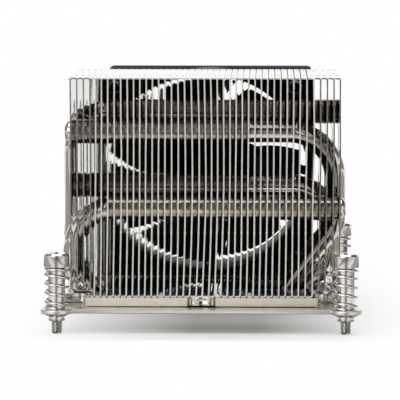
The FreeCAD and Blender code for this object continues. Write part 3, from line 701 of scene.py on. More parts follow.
BEARING_BRONZE = finish("sintered_bronze", (0.42, 0.28, 0.13), (0.36, 0.24, 0.12), (0.6, 0.45, 0.25),
                        (0.3, 0.5), grain=0.1, relief=0.006)


# ---------------------------------------------------------------- bracket and base block

def four_places(x, y):
    return [(sx * x, sy * y) for sx in (-1, 1) for sy in (-1, 1)]


def fit_bracket():
    """Square plate with an ear at each corner and a window round the contact pedestal."""
    ear_turn = math.acos((BRACKET_HALF_SIDE - SCREW_PLACE) / EAR_RADIUS)
    outline = []
    for quarter in range(4):
        start = quarter * math.pi / 2
        cos, sin = round(math.cos(start)), round(math.sin(start))
        x = SCREW_PLACE * (cos - sin)
        y = SCREW_PLACE * (cos + sin)
        outline += arc(x, y, EAR_RADIUS, start - ear_turn, start + math.pi / 2 + ear_turn, steps=30)
    side = WINDOW_HALF_SIDE
    window = soften([(-side, -side), (-side, side), (side, side), (side, -side)],
                    WINDOW_CORNER_RADIUS, steps=8)
    holes = [window]
    holes += [circle(EAR_HOLE_RADIUS, x, y, clockwise=True) for x, y in four_places(SCREW_PLACE, SCREW_PLACE)]
    holes += [circle(PLATE_SCREW_HEAD_RADIUS + PLATE_SCREW_PLAY, x, y, sides=32, clockwise=True)
              for x, y in four_places(*PLATE_SCREW_PLACE)]
    stock = Stock().add(*plate(outline, holes, BRACKET_BOTTOM, BRACKET_TOP, BRACKET_EDGE))
    fit_piece("bracket_plate", stock, "root", [BRACKET_STEEL], ["mounting_bracket"])


def fit_bracket_screws():
    """Countersunk screws that hold the bracket to the base block, from below."""
    stock = Stock()
    head, shank = PLATE_SCREW_HEAD_RADIUS, PLATE_SCREW_RADIUS
    profile = [(head, 0.0), (shank, head - shank), (shank, PLATE_SCREW_LENGTH), (0.0, PLATE_SCREW_LENGTH)]
    rim = turn(soften(profile, PLATE_SCREW_ROUNDING, closed=False), sides=32)
    drive = cross_recess(head, 0.0, depth=0.7, width=0.6, length=2.2, sides=32)
    for x, y in four_places(*PLATE_SCREW_PLACE):
        stock.add(*rim, place=lambda p: (x + p[0], y + p[1], BRACKET_BOTTOM + p[2]))
        stock.add(*drive, place=lambda p: (x + p[0], y + p[1], BRACKET_BOTTOM - p[2]))
    fit_piece("bracket_screw_set", stock, "root", [BRACKET_STEEL], ["bracket_screws"])


def base_outline():
    """Tongue and wings, with a half-round notch in the middle of the front and the rear."""
    tongue_x, tongue_y = TONGUE_HALF
    wing_x, wing_y = WING_HALF

    def quarter(sx, sy):
        return soften([(sx * wing_x, 0), (sx * wing_x, sy * wing_y), (sx * tongue_x, sy * wing_y),
                       (sx * tongue_x, sy * tongue_y), (sx * NOTCH_RADIUS, sy * tongue_y)],
                      [0, CORNER_BREAK, BASE_CORNER_RADIUS, CORNER_BREAK, 0], closed=False, steps=8)

    rear_notch = arc(0, tongue_y, NOTCH_RADIUS, 0.0, -math.pi, steps=24)[1:-1]
    front_notch = arc(0, -tongue_y, NOTCH_RADIUS, math.pi, 0.0, steps=24)[1:-1]
    return (quarter(1, 1) + rear_notch + quarter(-1, 1)[:0:-1] + quarter(-1, -1) + front_notch
            + quarter(1, -1)[:0:-1])


def fit_base():
    """Block with a groove for each pipe, on a pedestal that fills the bracket's window."""
    half_width = PIPE_WIDTH / 2 + PIPE_FIT
    grooves = []
    for pipe in PIPES.values():
        entry = foot_x(pipe) + pipe["side"] * (LOWER_BEND_REACH + PIPE_RADIUS)
        x0, x1 = sorted((entry, -pipe["side"] * (PIPE_TAIL + PIPE_FIT)))
        grooves.append((x0, x1, pipe["low_y"] - half_width, pipe["low_y"] + half_width))
    holes = [[(x0, y0), (x0, y1), (x1, y1), (x1, y0)] for x0, x1, y0, y1 in grooves]
    outline = base_outline()
    stock = Stock().add(*plate(outline, holes, BRACKET_TOP + SEAM, BASE_TOP, BASE_EDGE))
    core, *core_holes = [inset(outline, SEAM_DEPTH)] + [inset(hole, -SEAM_REACH) for hole in holes]
    stock.add(*plate(core, core_holes, BRACKET_TOP, BRACKET_TOP + SEAM + LAP, SEAM_EDGE))
    for x0, x1, y0, y1 in grooves:
        stock.add(*block(x0 - GROOVE_LAP, x1 + GROOVE_LAP, y0 - GROOVE_LAP, y1 + GROOVE_LAP,
                         BRACKET_TOP + SKIN, GROOVE_FLOOR, GROOVE_EDGE))
    half = PEDESTAL_SIDE / 2
    pad = soften([(-half, -half), (half, -half), (half, half), (-half, half)], PEDESTAL_CORNER)
    stock.add(*plate(pad, [], 0.0, BRACKET_TOP + LAP))

    def choose(centre, normal):
        notch_side, end = NOTCH_RADIUS - BLASTED_PLAY[0], TONGUE_HALF[1] - BLASTED_PLAY[1]
        blasted = abs(centre.y) > end and abs(normal.y) > BLASTED_FACING and abs(centre.x) > notch_side
        return 0 if blasted else 1

    fit_piece("base_block_milled", stock, "root", [BASE_BLASTED, BASE_POLISHED],
              ["base_block"], choose)


# ---------------------------------------------------------------- heat pipes

PIPES = {
    "heat_pipe_front_low": dict(side=-1, high_y=-26.0, high_z=28.7, low_y=-22.0, leg_x=-36.2,
                                knee_z=11.7, bend=12.5, free_x=40.2),
    "heat_pipe_front_high": dict(side=1, high_y=-18.5, high_z=49.5, low_y=-13.5, leg_x=37.3,
                                 knee_z=23.2, bend=13.0, free_x=-39.1),
    "heat_pipe_rear_low": dict(side=1, high_y=-8.0, high_z=33.4, low_y=-5.0, leg_x=36.2,
                               knee_z=13.0, bend=11.0, free_x=-36.5),
    "heat_pipe_rear_high": dict(side=-1, high_y=0.0, high_z=54.0, low_y=3.5, leg_x=-37.6,
                                knee_z=13.0, bend=12.0, free_x=38.7),
}
for pipe in PIPES.values():
    pipe["lean"] = math.atan2(pipe["low_y"] - pipe["high_y"], pipe["high_z"] - PIPE_LOW_Z)


def along_lean(pipe, z):
    return (z - PIPE_LOW_Z) / math.cos(pipe["lean"])


def lean_point(pipe, across, along):
    """(y, z) of a point in the leaning plane's own directions."""
    cos, sin = math.cos(pipe["lean"]), math.sin(pipe["lean"])
    return (pipe["low_y"] + across * cos - along * sin, PIPE_LOW_Z + across * sin + along * cos)


def bend_line(corners, radii):
    """Centre line of straight runs joined by arcs, as 2-D points."""
    line = [Vector(corners[0])]
    for before, corner, after, radius in zip(corners, corners[1:], corners[2:], radii):
        back = (Vector(before) - Vector(corner)).normalized()
        ahead = (Vector(after) - Vector(corner)).normalized()
        half_turn = (math.pi - back.angle(ahead)) / 2
        middle = Vector(corner) + (back + ahead).normalized() * (radius / math.cos(half_turn))
        start = Vector(corner) + back * radius * math.tan(half_turn) - middle
        swing = 2 * half_turn * (1 if back.x * ahead.y - back.y * ahead.x < 0 else -1)
        steps = max(3, math.ceil(abs(swing) / PIPE_ARC_STEP))
        for k in range(steps + 1):
            a = swing * k / steps
            line.append(middle + Vector((start.x * math.cos(a) - start.y * math.sin(a),
                                         start.x * math.sin(a) + start.y * math.cos(a))))
    line.append(Vector(corners[-1]))
    return line


def foot_x(pipe):
    """X where the sloping leg would meet the low run, were there no bend."""
    return pipe["leg_x"] - pipe["side"] * along_lean(pipe, pipe["knee_z"]) / math.tan(PIPE_SLOPE)


def flattened_outline():
    """Outline of a flattened pipe, with points evenly spaced from its side."""
    r = PIPE_FLAT / 2
    straight = PIPE_WIDTH - PIPE_FLAT
    quarter = r * math.pi / 2
    outline = []
    for k in range(PIPE_SIDES // 2):
        run = (2 * quarter + straight) * k / (PIPE_SIDES // 2)
        if run < quarter:
            outline.append((straight / 2 + r * math.cos(run / r), r * math.sin(run / r)))
        elif run < quarter + straight:
            outline.append((straight / 2 - run + quarter, r))
        else:
            turned = (run - straight) / r
            outline.append((-straight / 2 + r * math.cos(turned), r * math.sin(turned)))
    return outline + [(-x, -y) for x, y in outline]


def fit_pipe(name, pipe):
    """C-shaped pipe with a swaged free end. Its low run is flattened in the base."""
    side = pipe["side"]
    top = along_lean(pipe, pipe["high_z"])
    knee = along_lean(pipe, pipe["knee_z"])
    foot = foot_x(pipe)
    flat = bend_line([(pipe["free_x"], top), (pipe["leg_x"], top), (pipe["leg_x"], knee), (foot, 0.0),
                      (-side * PIPE_TAIL, 0.0)], [pipe["bend"], KNEE_BEND, KNEE_BEND])
    inward = math.copysign(1.0, flat[1].x - flat[0].x)
    ends = [Vector((flat[0].x + inward * d, flat[0].y)) for d, _ in SWAGE]
    bend_start = len(flat) - 2 - max(3, math.ceil(PIPE_SLOPE / PIPE_ARC_STEP))
    slope = (flat[bend_start - 1] - flat[bend_start]).normalized()
    run_in = [flat[bend_start] + slope * FLATTEN_RUN * share for share in (1.0, 0.5)]
    line = ends + flat[1:bend_start] + run_in + flat[bend_start:]
    shares = [share for _, share in SWAGE] + [1.0] * (len(line) - len(SWAGE))
    flat_ring = flattened_outline()
    begin = len(ends) + bend_start - 1
    length = FLATTEN_RUN + KNEE_BEND * PIPE_SLOPE
    leaned = Vector((0.0, math.cos(pipe["lean"]), math.sin(pipe["lean"])))
    centres, across, outlines = [], [], []
    run = 0.0
    for k, (p, share) in enumerate(zip(line, shares)):
        run += (p - line[k - 1]).length if k > begin else 0.0
        done = min(run / length, 1.0)
        flatness = done * (2 - done)
        roundness = 1 - flatness
        centres.append(Vector((p.x, *lean_point(pipe, 0.0, p.y))))
        across.append(leaned * roundness + Vector((0.0, flatness, 0.0)))
        outlines.append([(x * share * roundness + u * flatness, y * share * roundness + v * flatness)
                         for (x, y), (u, v) in zip(circle(PIPE_RADIUS, sides=PIPE_SIDES), flat_ring)])
    stock = Stock().add(*sweep(centres, across, outlines))
    fit_piece(name + "_bent", stock, "root", [PIPE_NICKEL], [name])


# ---------------------------------------------------------------- fins

def slot_line(pipe, foot):
    """Outline of the slot round a leg, open and wider at the fin's foot, as (y, height) pairs."""
    half = PIPE_RADIUS + SLOT_GAP
    wide = PIPE_WIDTH / 2 + SLOT_GAP
    top = along_lean(pipe, pipe["high_z"])
    flare = along_lean(pipe, SLOT_FOOT)
    low = along_lean(pipe, foot)
    line = [lean_point(pipe, wide, low), lean_point(pipe, wide, flare),
            lean_point(pipe, half, flare + wide - half)]
    line += [lean_point(pipe, *p) for p in arc(0.0, top, half, 0.0, math.pi, steps=16)]
    line += [lean_point(pipe, -half, flare + wide - half), lean_point(pipe, -wide, flare),
             lean_point(pipe, -wide, low)]
    return [(line[0][0], foot - SLOT_MOUTH)] + line + [(line[-1][0], foot - SLOT_MOUTH)]


def inside(point, line):
    x, y = point
    odd = False
    for (x0, y0), (x1, y1) in zip(line, line[1:] + line[:1]):
        if (y0 > y) != (y1 > y) and x < (x1 - x0) * (y - y0) / (y1 - y0) + x0:
            odd = not odd
    return odd


def stamp_blank(bottom, flange, slotted_sides):
    """Flat blank of one fin: points (y, s) and triangles, where s runs up the folded sheet."""
    low_bend = bottom + FIN_THICKNESS / 2 + FIN_BEND_RADIUS
    high_bend = FIN_TOP - FIN_THICKNESS / 2 - FIN_BEND_RADIUS
    arc_length = FIN_BEND_RADIUS * math.pi / 2
    if flange:
        low, high = low_bend - arc_length - flange, high_bend + arc_length + flange
    else:
        low, high = bottom, FIN_TOP
    cuts = []
    for pipe in PIPES.values():
        if pipe["side"] in slotted_sides:
            cuts.append(slot_line(pipe, low_bend))
        else:
            cuts.append(circle(PIPE_RADIUS + PIPE_FIT, pipe["high_y"], pipe["high_z"], COLLAR_SIDES))
    if flange:
        upper = high_bend + arc_length + WINDOW_START
        lower = low_bend - arc_length - (WINDOW_START + WINDOW_HEIGHT)
        half = LOCK_LENGTH / 2
        for y, window in [(y, upper) for y in LOCK_ROWS] + [(FOOT_LOCK_ROW, lower)]:
            cuts.append([(y - half, window), (y + half, window), (y + half, window + WINDOW_HEIGHT),
                         (y - half, window + WINDOW_HEIGHT)])
    points, edges = [], []

    def draw(line, closed=True):
        first = len(points)
        points.extend(Vector(p) for p in line)
        edges.extend((first + i, first + i + 1) for i in range(len(line) - 1))
        if closed:
            edges.append((first + len(line) - 1, first))

    draw([(FIN_FRONT, low), (FIN_REAR, low), (FIN_REAR, high), (FIN_FRONT, high)])
    for line in cuts:
        draw(line)
    rows = [low_bend + (high_bend - low_bend) * k / SWAY_ROWS for k in range(SWAY_ROWS + 1)]
    if flange:
        for k in range(1, FIN_BEND_STEPS + 1):
            rows += [low_bend - arc_length * k / FIN_BEND_STEPS, high_bend + arc_length * k / FIN_BEND_STEPS]
    for s in rows:
        draw([(FIN_FRONT, s), (FIN_REAR, s)], closed=False)
    made = geometry.delaunay_2d_cdt(points, edges, [], 0, POINT_WELD)
    corners, triangles = made[0], made[2]
    kept = []
    for t in triangles:
        y = sum(corners[i].x for i in t) / 3
        s = sum(corners[i].y for i in t) / 3
        within = FIN_FRONT < y < FIN_REAR and low < s < high
        if within and not any(inside((y, s), line) for line in cuts):
            kept.append(tuple(t))
    return [(c.x, c.y) for c in corners], kept, low_bend, high_bend


def fold(s, low_bend, high_bend):
    """Offset along X, height and outward direction of a point on the folded sheet."""
    r = FIN_BEND_RADIUS
    past = max(s - high_bend, low_bend - s, 0.0)
    if past == 0:
        return 0.0, s, 1.0, 0.0
    sign = 1.0 if s > high_bend else -1.0
    start = high_bend if sign > 0 else low_bend
    angle = min(past / r, math.pi / 2)
    x = -r * (1 - math.cos(angle)) - max(past - r * math.pi / 2, 0.0)
    return x, start + sign * r * math.sin(angle), math.cos(angle), sign * math.sin(angle)


def between(value, table):
    """Straight-line reading of a table of (place, amount) rows."""
    for (a, low), (b, high) in zip(table, table[1:]):
        if value <= b:
            return low + (high - low) * max(0.0, value - a) / (b - a)
    return table[-1][1]


# How the soft sheets stand: sideways bow of the middle and lean of the foot, by fin number.
FIN_BOW = [(0, 0.0), (8, 0.05), (14, 0.15), (17, 0.38), (22, 0.42), (25, 0.15), (30, 0.05), (42, 0.0)]
FOOT_LEAN = [(0, 0.05), (10, 0.10), (16, 0.22), (19, 0.30), (24, 0.34), (32, 0.22), (42, 0.05)]


# Where the sheets stand, in hundredths of a millimetre off an even spacing. Each row is a
# fin number and its offsets at the heights of SET_HEIGHTS.
SET_HEIGHTS = (0.055, 0.245, 0.465, 0.66, 0.965)
FIN_SET = [(0, 0, 0, 0, 0, -5), (3, 0, 0, 8, 10, 10), (4, -58, -34, -18, -14, -14),
           (5, -61, -45, -31, -31, -31), (6, -66, -50, -46, -38, -31), (8, -57, -33, -24, -14, -28),
           (10, -61, -47, -42, -36, -28), (12, -67, -70, -67, -64, -34), (14, -70, -64, -68, -61, -46),
           (16, -60, -64, -81, -73, -46), (18, -52, -53, -62, -55, -46), (20, -48, -31, -14, -18, -27),
           (22, -58, -43, -31, -33, -30), (25, -68, -56, -44, -37, -32), (27, -72, -62, -60, -58, -50),
           (31, -82, -67, -58, -60, -52), (33, -77, -66, -70, -56, -50), (36, -64, -68, -76, -53, -44),
           (37, -56, -56, -52, -37, -39), (38, -40, -44, -40, -4, -28), (40, -42, -20, -18, 2, -6),
           (42, -20, -5, -3, 0, -6)]


def fin_set(index, z):
    """Offset of a fin along X at a height."""
    h = (z - BASE_TOP) / (FIN_TOP - BASE_TOP)
    offsets = [between(index, [(row[0], row[1 + k]) for row in FIN_SET]) for k in range(len(SET_HEIGHTS))]
    return between(h, list(zip(SET_HEIGHTS, offsets))) / 100


def add_fin(stock, index, blanks, dice):
    """One folded fin with its collars, parting nib and interlock tabs."""
    x = FIRST_FIN_X + index * FIN_PITCH
    from_end = min(index, FIN_COUNT - 1 - index)
    bottom = BASE_TOP + (END_FIN_LIFT if from_end < RAISED_END_FINS else 0.0)
    slotted = (-1,) if index < SLOTTED_LEFT else (1,) if index >= FIN_COUNT - SLOTTED_RIGHT else ()
    half = FIN_THICKNESS / 2
    flange = FIN_PITCH - half - FIN_BEND_RADIUS - FLANGE_GAP if index > 0 else 0.0
    key = (bottom, flange > 0, slotted)
    if key not in blanks:
        blanks[key] = stamp_blank(bottom, flange, slotted)
    flat, triangles, low_bend, high_bend = blanks[key]
    bow = between(index, FIN_BOW) + dice.uniform(-BOW_PLAY, BOW_PLAY)
    lean = between(index, FOOT_LEAN) + dice.uniform(-LEAN_PLAY, LEAN_PLAY)
    ripple = dice.uniform(-RIPPLE, RIPPLE)

    def sway(y, z):
        h = (z - BASE_TOP) / (FIN_TOP - BASE_TOP)
        front = (FIN_REAR - y) / (FIN_REAR - FIN_FRONT)
        wave = bow * math.sin(math.pi * h) + ripple * math.sin(TURN * h * RIPPLE_WAVES)
        return front * (wave - lean * (1 - h) ** 2) + fin_set(index, z)

    reach = {}
    for bend in (low_bend, high_bend):
        reach[bend] = 1 + (fin_set(index, bend) - fin_set(index - 1, bend)) / flange if flange else 1
    outer, inner = [], []
    for y, s in flat:
        dx, z, nx, nz = fold(s, low_bend, high_bend)
        bend = high_bend if s > high_bend else low_bend
        if dx < -FIN_BEND_RADIUS:
            dx = (dx + FIN_BEND_RADIUS) * reach[bend] - FIN_BEND_RADIUS
        moved = x + dx + sway(y, z)
        outer.append((moved + nx * half, y, z + nz * half))
        inner.append((moved - nx * half, y, z - nz * half))
    count = len(flat)
    faces = list(triangles)
    faces += [tuple(count + i for i in reversed(t)) for t in triangles]
    used = dict.fromkeys(edge for t in triangles for edge in zip(t, t[1:] + t[:1]))
    faces += [(b, a, count + a, count + b) for a, b in used if (b, a) not in used]
    stock.add(outer + inner, faces)

    for pipe in PIPES.values():
        if pipe["side"] in slotted or index == 0:
            continue
        y, z = pipe["high_y"], pipe["high_z"]
        root = x - half
        tip = x - FIN_PITCH + half + FLANGE_GAP + fin_set(index - 1, z) - fin_set(index, z)
        hole = PIPE_RADIUS + PIPE_FIT
        profile = [(COLLAR_RADIUS + COLLAR_ROOT * out, root - COLLAR_ROOT * on) for out, on in COLLAR_FLARE]
        profile += [(COLLAR_RADIUS + out, tip + back) for out, back in COLLAR_RIM]
        profile += [(hole, tip), (hole, root)]
        stock.add(*turn(profile, COLLAR_SIDES, closed=True),
                  place=lambda p: (p[2] + sway(y, z), y + p[0], z + p[1]))
    nib_sway = sway(FIN_FRONT, NIB_HEIGHT)
    stock.add(*block(x - half - NIB_SIDE + nib_sway, x + half + NIB_SIDE + nib_sway, FIN_FRONT + NIB_DEPTH[0],
                     FIN_FRONT + NIB_DEPTH[1], NIB_HEIGHT + NIB_RISE[0], NIB_HEIGHT + NIB_RISE[1], NIB_EDGE))

    def add_tab(y, base, reach, low, high):
        tab = LOCK_LENGTH * TAB_SHARE
        stock.add(*block(base + reach[0], base + reach[1], y - tab, y + tab, low, high, TAB_EDGE))

    if index > 0:
        next_face = x - FIN_PITCH + half
        under_top = FIN_TOP - FIN_THICKNESS
        add_tab(FOOT_LOCK_ROW, next_face, HOOK_REACH, bottom + FOOT_HOOK[0],
                bottom + FIN_THICKNESS + FOOT_HOOK[1])
        for y in LOCK_ROWS:
            add_tab(y, next_face, HOOK_REACH, FIN_TOP + TOP_HOOK[0], FIN_TOP + TOP_HOOK[1])
            add_tab(y, x - half, TANG_REACH, under_top + TANG[0], under_top + TANG[1])


def fit_fins():
    """Fins by the way they are stamped, from left to right."""
    dice = random.Random(SWAY_SEED)
    right_slotted = FIN_COUNT - SLOTTED_RIGHT
    limits = [0, RAISED_END_FINS, SLOTTED_LEFT, (SLOTTED_LEFT + right_slotted) // 2, right_slotted,
              FIN_COUNT - RAISED_END_FINS, FIN_COUNT]
    names = ["fins_end_left", "fins_slotted_left", "fins_middle_left", "fins_middle_right",
             "fins_slotted_right", "fins_end_right"]
    blanks = {}

    def choose(centre, normal):
        for pipe_name, pipe in PIPES.items():
            off = math.hypot(centre.y - pipe["high_y"], centre.z - pipe["high_z"])
            if off < COLLAR_RADIUS + COLLAR_ROOT and abs(normal.x) < COLLAR_FACING:
                # Collars round the rear pipes take the copy with painted shade.
                return 3 if "rear" in pipe_name else 2
        return 1 if abs(normal.y) > EDGE_FACING else 0

    for name, start, end in zip(names, limits, limits[1:]):
        stock = Stock()
        for index in range(start, end):
            add_fin(stock, index, blanks, dice)
        # The end fins take the edge finish with painted shade.
        edge = SHADED_END_FIN_EDGE if "end" in name else FIN_EDGE
        fit_piece(name + "_folded", stock, "root", [FIN_SHEET, edge, COLLAR, SHADED_REAR_COLLAR],
                  [name], choose)


# ---------------------------------------------------------------- fan

def fan_place(p):
    """A point drawn looking along the fan's axis: x right, y up, z backwards."""
    return (FAN_CENTRE[0] + p[0], p[2], FAN_CENTRE[1] + p[1])


def fit_fan_frame():
    """Two square flanges on a barrel, with a motor plate on four struts at the fin side."""
    h = FAN_HALF
    square = soften([(-h, -h), (h, -h), (h, h), (-h, h)], FAN_CORNER, steps=8)
    holes = [circle(FAN_BARREL - BARREL_LAP, sides=96, clockwise=True)]
    holes += [circle(FAN_HOLE_RADIUS, x, y, sides=32, clockwise=True)
              for x, y in four_places(FAN_HOLE_PLACE, FAN_HOLE_PLACE)]
    stock = Stock()
    for low in (FAN_FRONT, FAN_REAR - FAN_FLANGE):
        stock.add(*plate(square, holes, low, low + FAN_FLANGE, FAN_FLANGE_EDGE), place=fan_place)
    front, rear = FAN_FRONT + SKIN, FAN_REAR - SKIN
    lip = [(FAN_LIP, 0.0), (FAN_LIP * LIP_BULGE, FAN_LIP * LIP_BULGE), (0.0, FAN_LIP)]
    barrel = [(FAN_BARREL, front), (FAN_BARREL, rear)]
    barrel += [(FAN_BORE + out, rear - back) for out, back in lip]
    barrel += [(FAN_BORE + out, front + back) for out, back in reversed(lip)]
    stock.add(*turn(barrel, sides=96, closed=True), place=fan_place)
    front, rear = FAN_FRONT + SKIN / 2, FAN_FRONT + MOTOR_THICKNESS
    stock.add(*plate(circle(MOTOR_RADIUS, sides=64), [], front, rear, MOTOR_EDGE), place=fan_place)
    side = MOTOR_RADIUS - STRUT_INSET
    outer = math.sqrt((FAN_BORE + STRUT_LAP) ** 2 - side ** 2)
    for k in range(STRUT_COUNT):
        angle = TURN * (k + STRUT_TURN) / STRUT_COUNT
        cos, sin = math.cos(angle), math.sin(angle)
        bar = block(0, outer, side - STRUT_WIDTH, side, front, rear, STRUT_EDGE)
        stock.add(*bar, place=lambda p: fan_place((p[0] * cos + p[1] * sin, p[1] * cos - p[0] * sin, p[2])))
    fit_piece("fan_frame_moulded", stock, "root", [FAN_FRAME_BLACK], ["fan_frame"])


def blade(turned):
    """One blade as a closed skin, swept and twisted between hub and tip."""
    points, rings = [], []
    middle = (ROTOR_FRONT + ROTOR_REAR) / 2
    for k in range(BLADE_STATIONS):
        share = k / (BLADE_STATIONS - 1)
        radius = MOTOR_RADIUS - BLADE_LAP + share * (BLADE_TIP - MOTOR_RADIUS + BLADE_LAP)
        span = BLADE_ROOT_SPAN + share * (BLADE_TIP_SPAN - BLADE_ROOT_SPAN)
        length = BLADE_ROOT_LENGTH + share * (BLADE_TIP_LENGTH - BLADE_ROOT_LENGTH)
        swept = BLADE_SWEEP * (radius - BLADE_DRAWN[0]) / (BLADE_DRAWN[1] - BLADE_DRAWN[0])
        upper, lower = [], []
        for j in range(BLADE_CHORD_STEPS + 1):
            c = 2 * j / BLADE_CHORD_STEPS - 1
            half = BLADE_THICKNESS / 2 * (BLADE_EDGE + (1 - BLADE_EDGE) * math.sqrt(max(0.0, 1 - c * c)))
            angle = turned + swept + c * span / 2
            depth = middle + c * length / 2 + BLADE_CAMBER * (1 - c * c)
            slope = math.atan2(length, radius * span)
            sin, cos = math.sin(slope) * half / radius, math.cos(slope) * half
            for row, sign in ((upper, 1), (lower, -1)):
                a = angle - sign * sin
                row.append((radius * math.sin(a), radius * math.cos(a), depth + sign * cos))
        ring = upper + lower[::-1]
        rings.append(list(range(len(points), len(points) + len(ring))))
        points += ring
    faces = [tuple(rings[-1]), tuple(rings[0])[::-1]]
    for a, b in zip(rings, rings[1:]):
        faces += bridge(a, b)
    return points, faces


def fit_fan_rotor():
    near, far = HUB_ROUNDING
    profile = soften(HUB[:HUB_SHOULDER + 1], near, closed=False)[:-1]
    profile += soften(HUB[HUB_SHOULDER:], far, closed=False, steps=6)
    stock = Stock().add(*turn(profile, sides=72), place=fan_place)
    for k in range(BLADE_COUNT):
        stock.add(*blade(BLADE_PHASE + TURN * k / BLADE_COUNT), place=fan_place)
    fit_piece("fan_rotor_moulded", stock, "fan_rotor", [FAN_ROTOR_BLACK], ["fan_rotor"])


def fit_fan_screws():
    """Pan-head screws through the fan's holes into the rear edges of the fins."""
    head, top = FAN_SCREW_HEAD_RADIUS, FAN_REAR + FAN_SCREW_HEAD
    front = FIN_REAR - FAN_SCREW_BITE
    rim = head * FAN_SCREW_RIM
    point, taper = FAN_SCREW_POINT
    profile = [(0.0, front), (point, front), (FAN_SCREW_RADIUS, front + taper), (FAN_SCREW_RADIUS, FAN_REAR),
               (head, FAN_REAR), (head, FAN_REAR + FAN_SCREW_HEAD * FAN_SCREW_SIDE), (rim, top)]
    under, over = FAN_SCREW_ROUNDING
    skin = soften(profile[:5], under, closed=False)[:-1] + soften(profile[4:], over, closed=False, steps=6)
    body = turn(skin, sides=40)
    drive = cross_recess(rim, top, depth=1.3, width=0.8, length=3.2, sides=40)
    stock = Stock()
    for x, y in four_places(FAN_HOLE_PLACE, FAN_HOLE_PLACE):
        for part in (body, drive):
            stock.add(*part, place=lambda p: fan_place((x + p[0], y + p[1], p[2])))
    fit_piece("fan_screw_set", stock, "root", [FAN_SCREW_BLACK], ["fan_screws"])


# ---------------------------------------------------------------- captive screws

def fit_captive_screw(corner, x, y):
    """Threaded tip, shank with a clip groove, and a cheese head with a cross drive."""
    rim = HEAD_RADIUS - HEAD_CHAMFER
    start, end = SCREW_TIP + THREAD_RUN[0], SHANK_BOTTOM + THREAD_RUN[1]
    rows = [start + (end - start) * k / THREAD_STEPS for k in range(THREAD_STEPS + 1)]
    profile = [(0.0, SCREW_TIP), (THREAD_RADIUS - POINT_INSET[0], SCREW_TIP)]
    profile += [(min(THREAD_RADIUS, THREAD_RADIUS - POINT_INSET[1] + (z - SCREW_TIP)), z) for z in rows]
    root = (THREAD_RADIUS - THREAD_DEPTH, SHANK_BOTTOM)
    upper = [root, (SHANK_RADIUS, SHANK_BOTTOM), (SHANK_RADIUS, GROOVE_BOTTOM),
             (GROOVE_RADIUS, GROOVE_BOTTOM), (GROOVE_RADIUS, BRACKET_BOTTOM),
             (SHANK_RADIUS, BRACKET_BOTTOM), (SHANK_RADIUS, HEAD_BOTTOM), (HEAD_RADIUS, HEAD_BOTTOM),
             (HEAD_RADIUS, HEAD_TOP - HEAD_CHAMFER), (rim, HEAD_TOP)]
    profile += [root] + soften(upper, SCREW_ROUNDING, closed=False, steps=3)[1:]

    def thread(angle, z):
        if z > SHANK_BOTTOM + THREAD_FADE[1] or z < SCREW_TIP + THREAD_FADE[0]:
            return 0.0
        place = (z / THREAD_PITCH - angle / TURN) % 1.0
        return THREAD_DEPTH * (1 - abs(2 * place - 1))

    stock = Stock()
    for part in (turn(profile, SCREW_SIDES, thread), cross_recess(rim, HEAD_TOP, DRIVE_DEPTH)):
        stock.add(*part, place=shifted(x, y))
    name = "captive_screw_" + corner
    fit_piece(name + "_turned", stock, "screw_" + corner, [SCREW_STEEL], [name])


def fit_clip(corner, x, y):
    """Open retaining ring with its mouth to the outside."""
    facing = math.copysign(math.pi / 2, y)
    mouth = math.asin(CLIP_HOLE * CLIP_MOUTH / CLIP_RADIUS)
    throat = math.asin(CLIP_MOUTH)
    outline = arc(0, 0, CLIP_RADIUS, facing + mouth, facing + TURN - mouth, steps=40)
    outline += arc(0, 0, CLIP_HOLE, facing + TURN - throat, facing + throat, steps=30)
    ring = plate(outline, [], CLIP_BOTTOM, CLIP_BOTTOM + CLIP_THICKNESS, CLIP_EDGE)
    stock = Stock().add(*ring, place=shifted(x, y))
    name = "retaining_clip_" + corner
    fit_piece(name + "_pressed", stock, "clip_" + corner, [CLIP_STEEL], [name])


def fit_spring(corner, x, y):
    """Left-hand coil of round wire, closed at both ends."""
    bottom = BRACKET_TOP + SPRING_PLAY + SPRING_WIRE
    top = HEAD_BOTTOM - SPRING_PLAY - SPRING_WIRE
    closed_pitch = 2 * SPRING_WIRE + SPRING_PLAY
    open_pitch = (top - bottom - 2 * SPRING_END_TURNS * closed_pitch) / SPRING_TURNS
    total = SPRING_TURNS + 2 * SPRING_END_TURNS
    count = round(total * SPRING_STEPS)
    centres, outward, outlines = [], [], []
    for k in range(count + 1):
        done = total * k / count
        opened = min(max(done - SPRING_END_TURNS, 0), SPRING_TURNS)
        rise = open_pitch * opened + closed_pitch * (done - opened)
        angle = -TURN * done - math.pi / 2
        out = Vector((math.cos(angle), math.sin(angle), 0.0))
        centres.append(Vector((x, y, bottom + rise)) + out * SPRING_RADIUS)
        outward.append(out)
        size = SPRING_CUT if k in (0, count) else 1.0
        outlines.append(circle(SPRING_WIRE * size, sides=SPRING_WIRE_SIDES))
    stock = Stock().add(*sweep(centres, outward, outlines))
    name = "spring_" + corner
    piece = fit_piece(name + "_wound", stock, "root", [SPRING_STEEL], [name])
    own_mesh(piece)


# ---------------------------------------------------------------- assembly

fit_bracket()
fit_bracket_screws()
fit_base()
for name, pipe in PIPES.items():
    fit_pipe(name, pipe)
fit_fins()
fit_fan_frame()
fit_fan_rotor()
fit_fan_screws()
for corner, (sx, sy) in CORNERS.items():
    for fit in (fit_captive_screw, fit_clip, fit_spring):
        fit(corner, sx * SCREW_PLACE, sy * SCREW_PLACE)
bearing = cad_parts["fan_bearing"]
bearing.data.materials.clear()
bearing.data.materials.append(BEARING_BRONZE)


# ---------------------------------------------------------------- studio

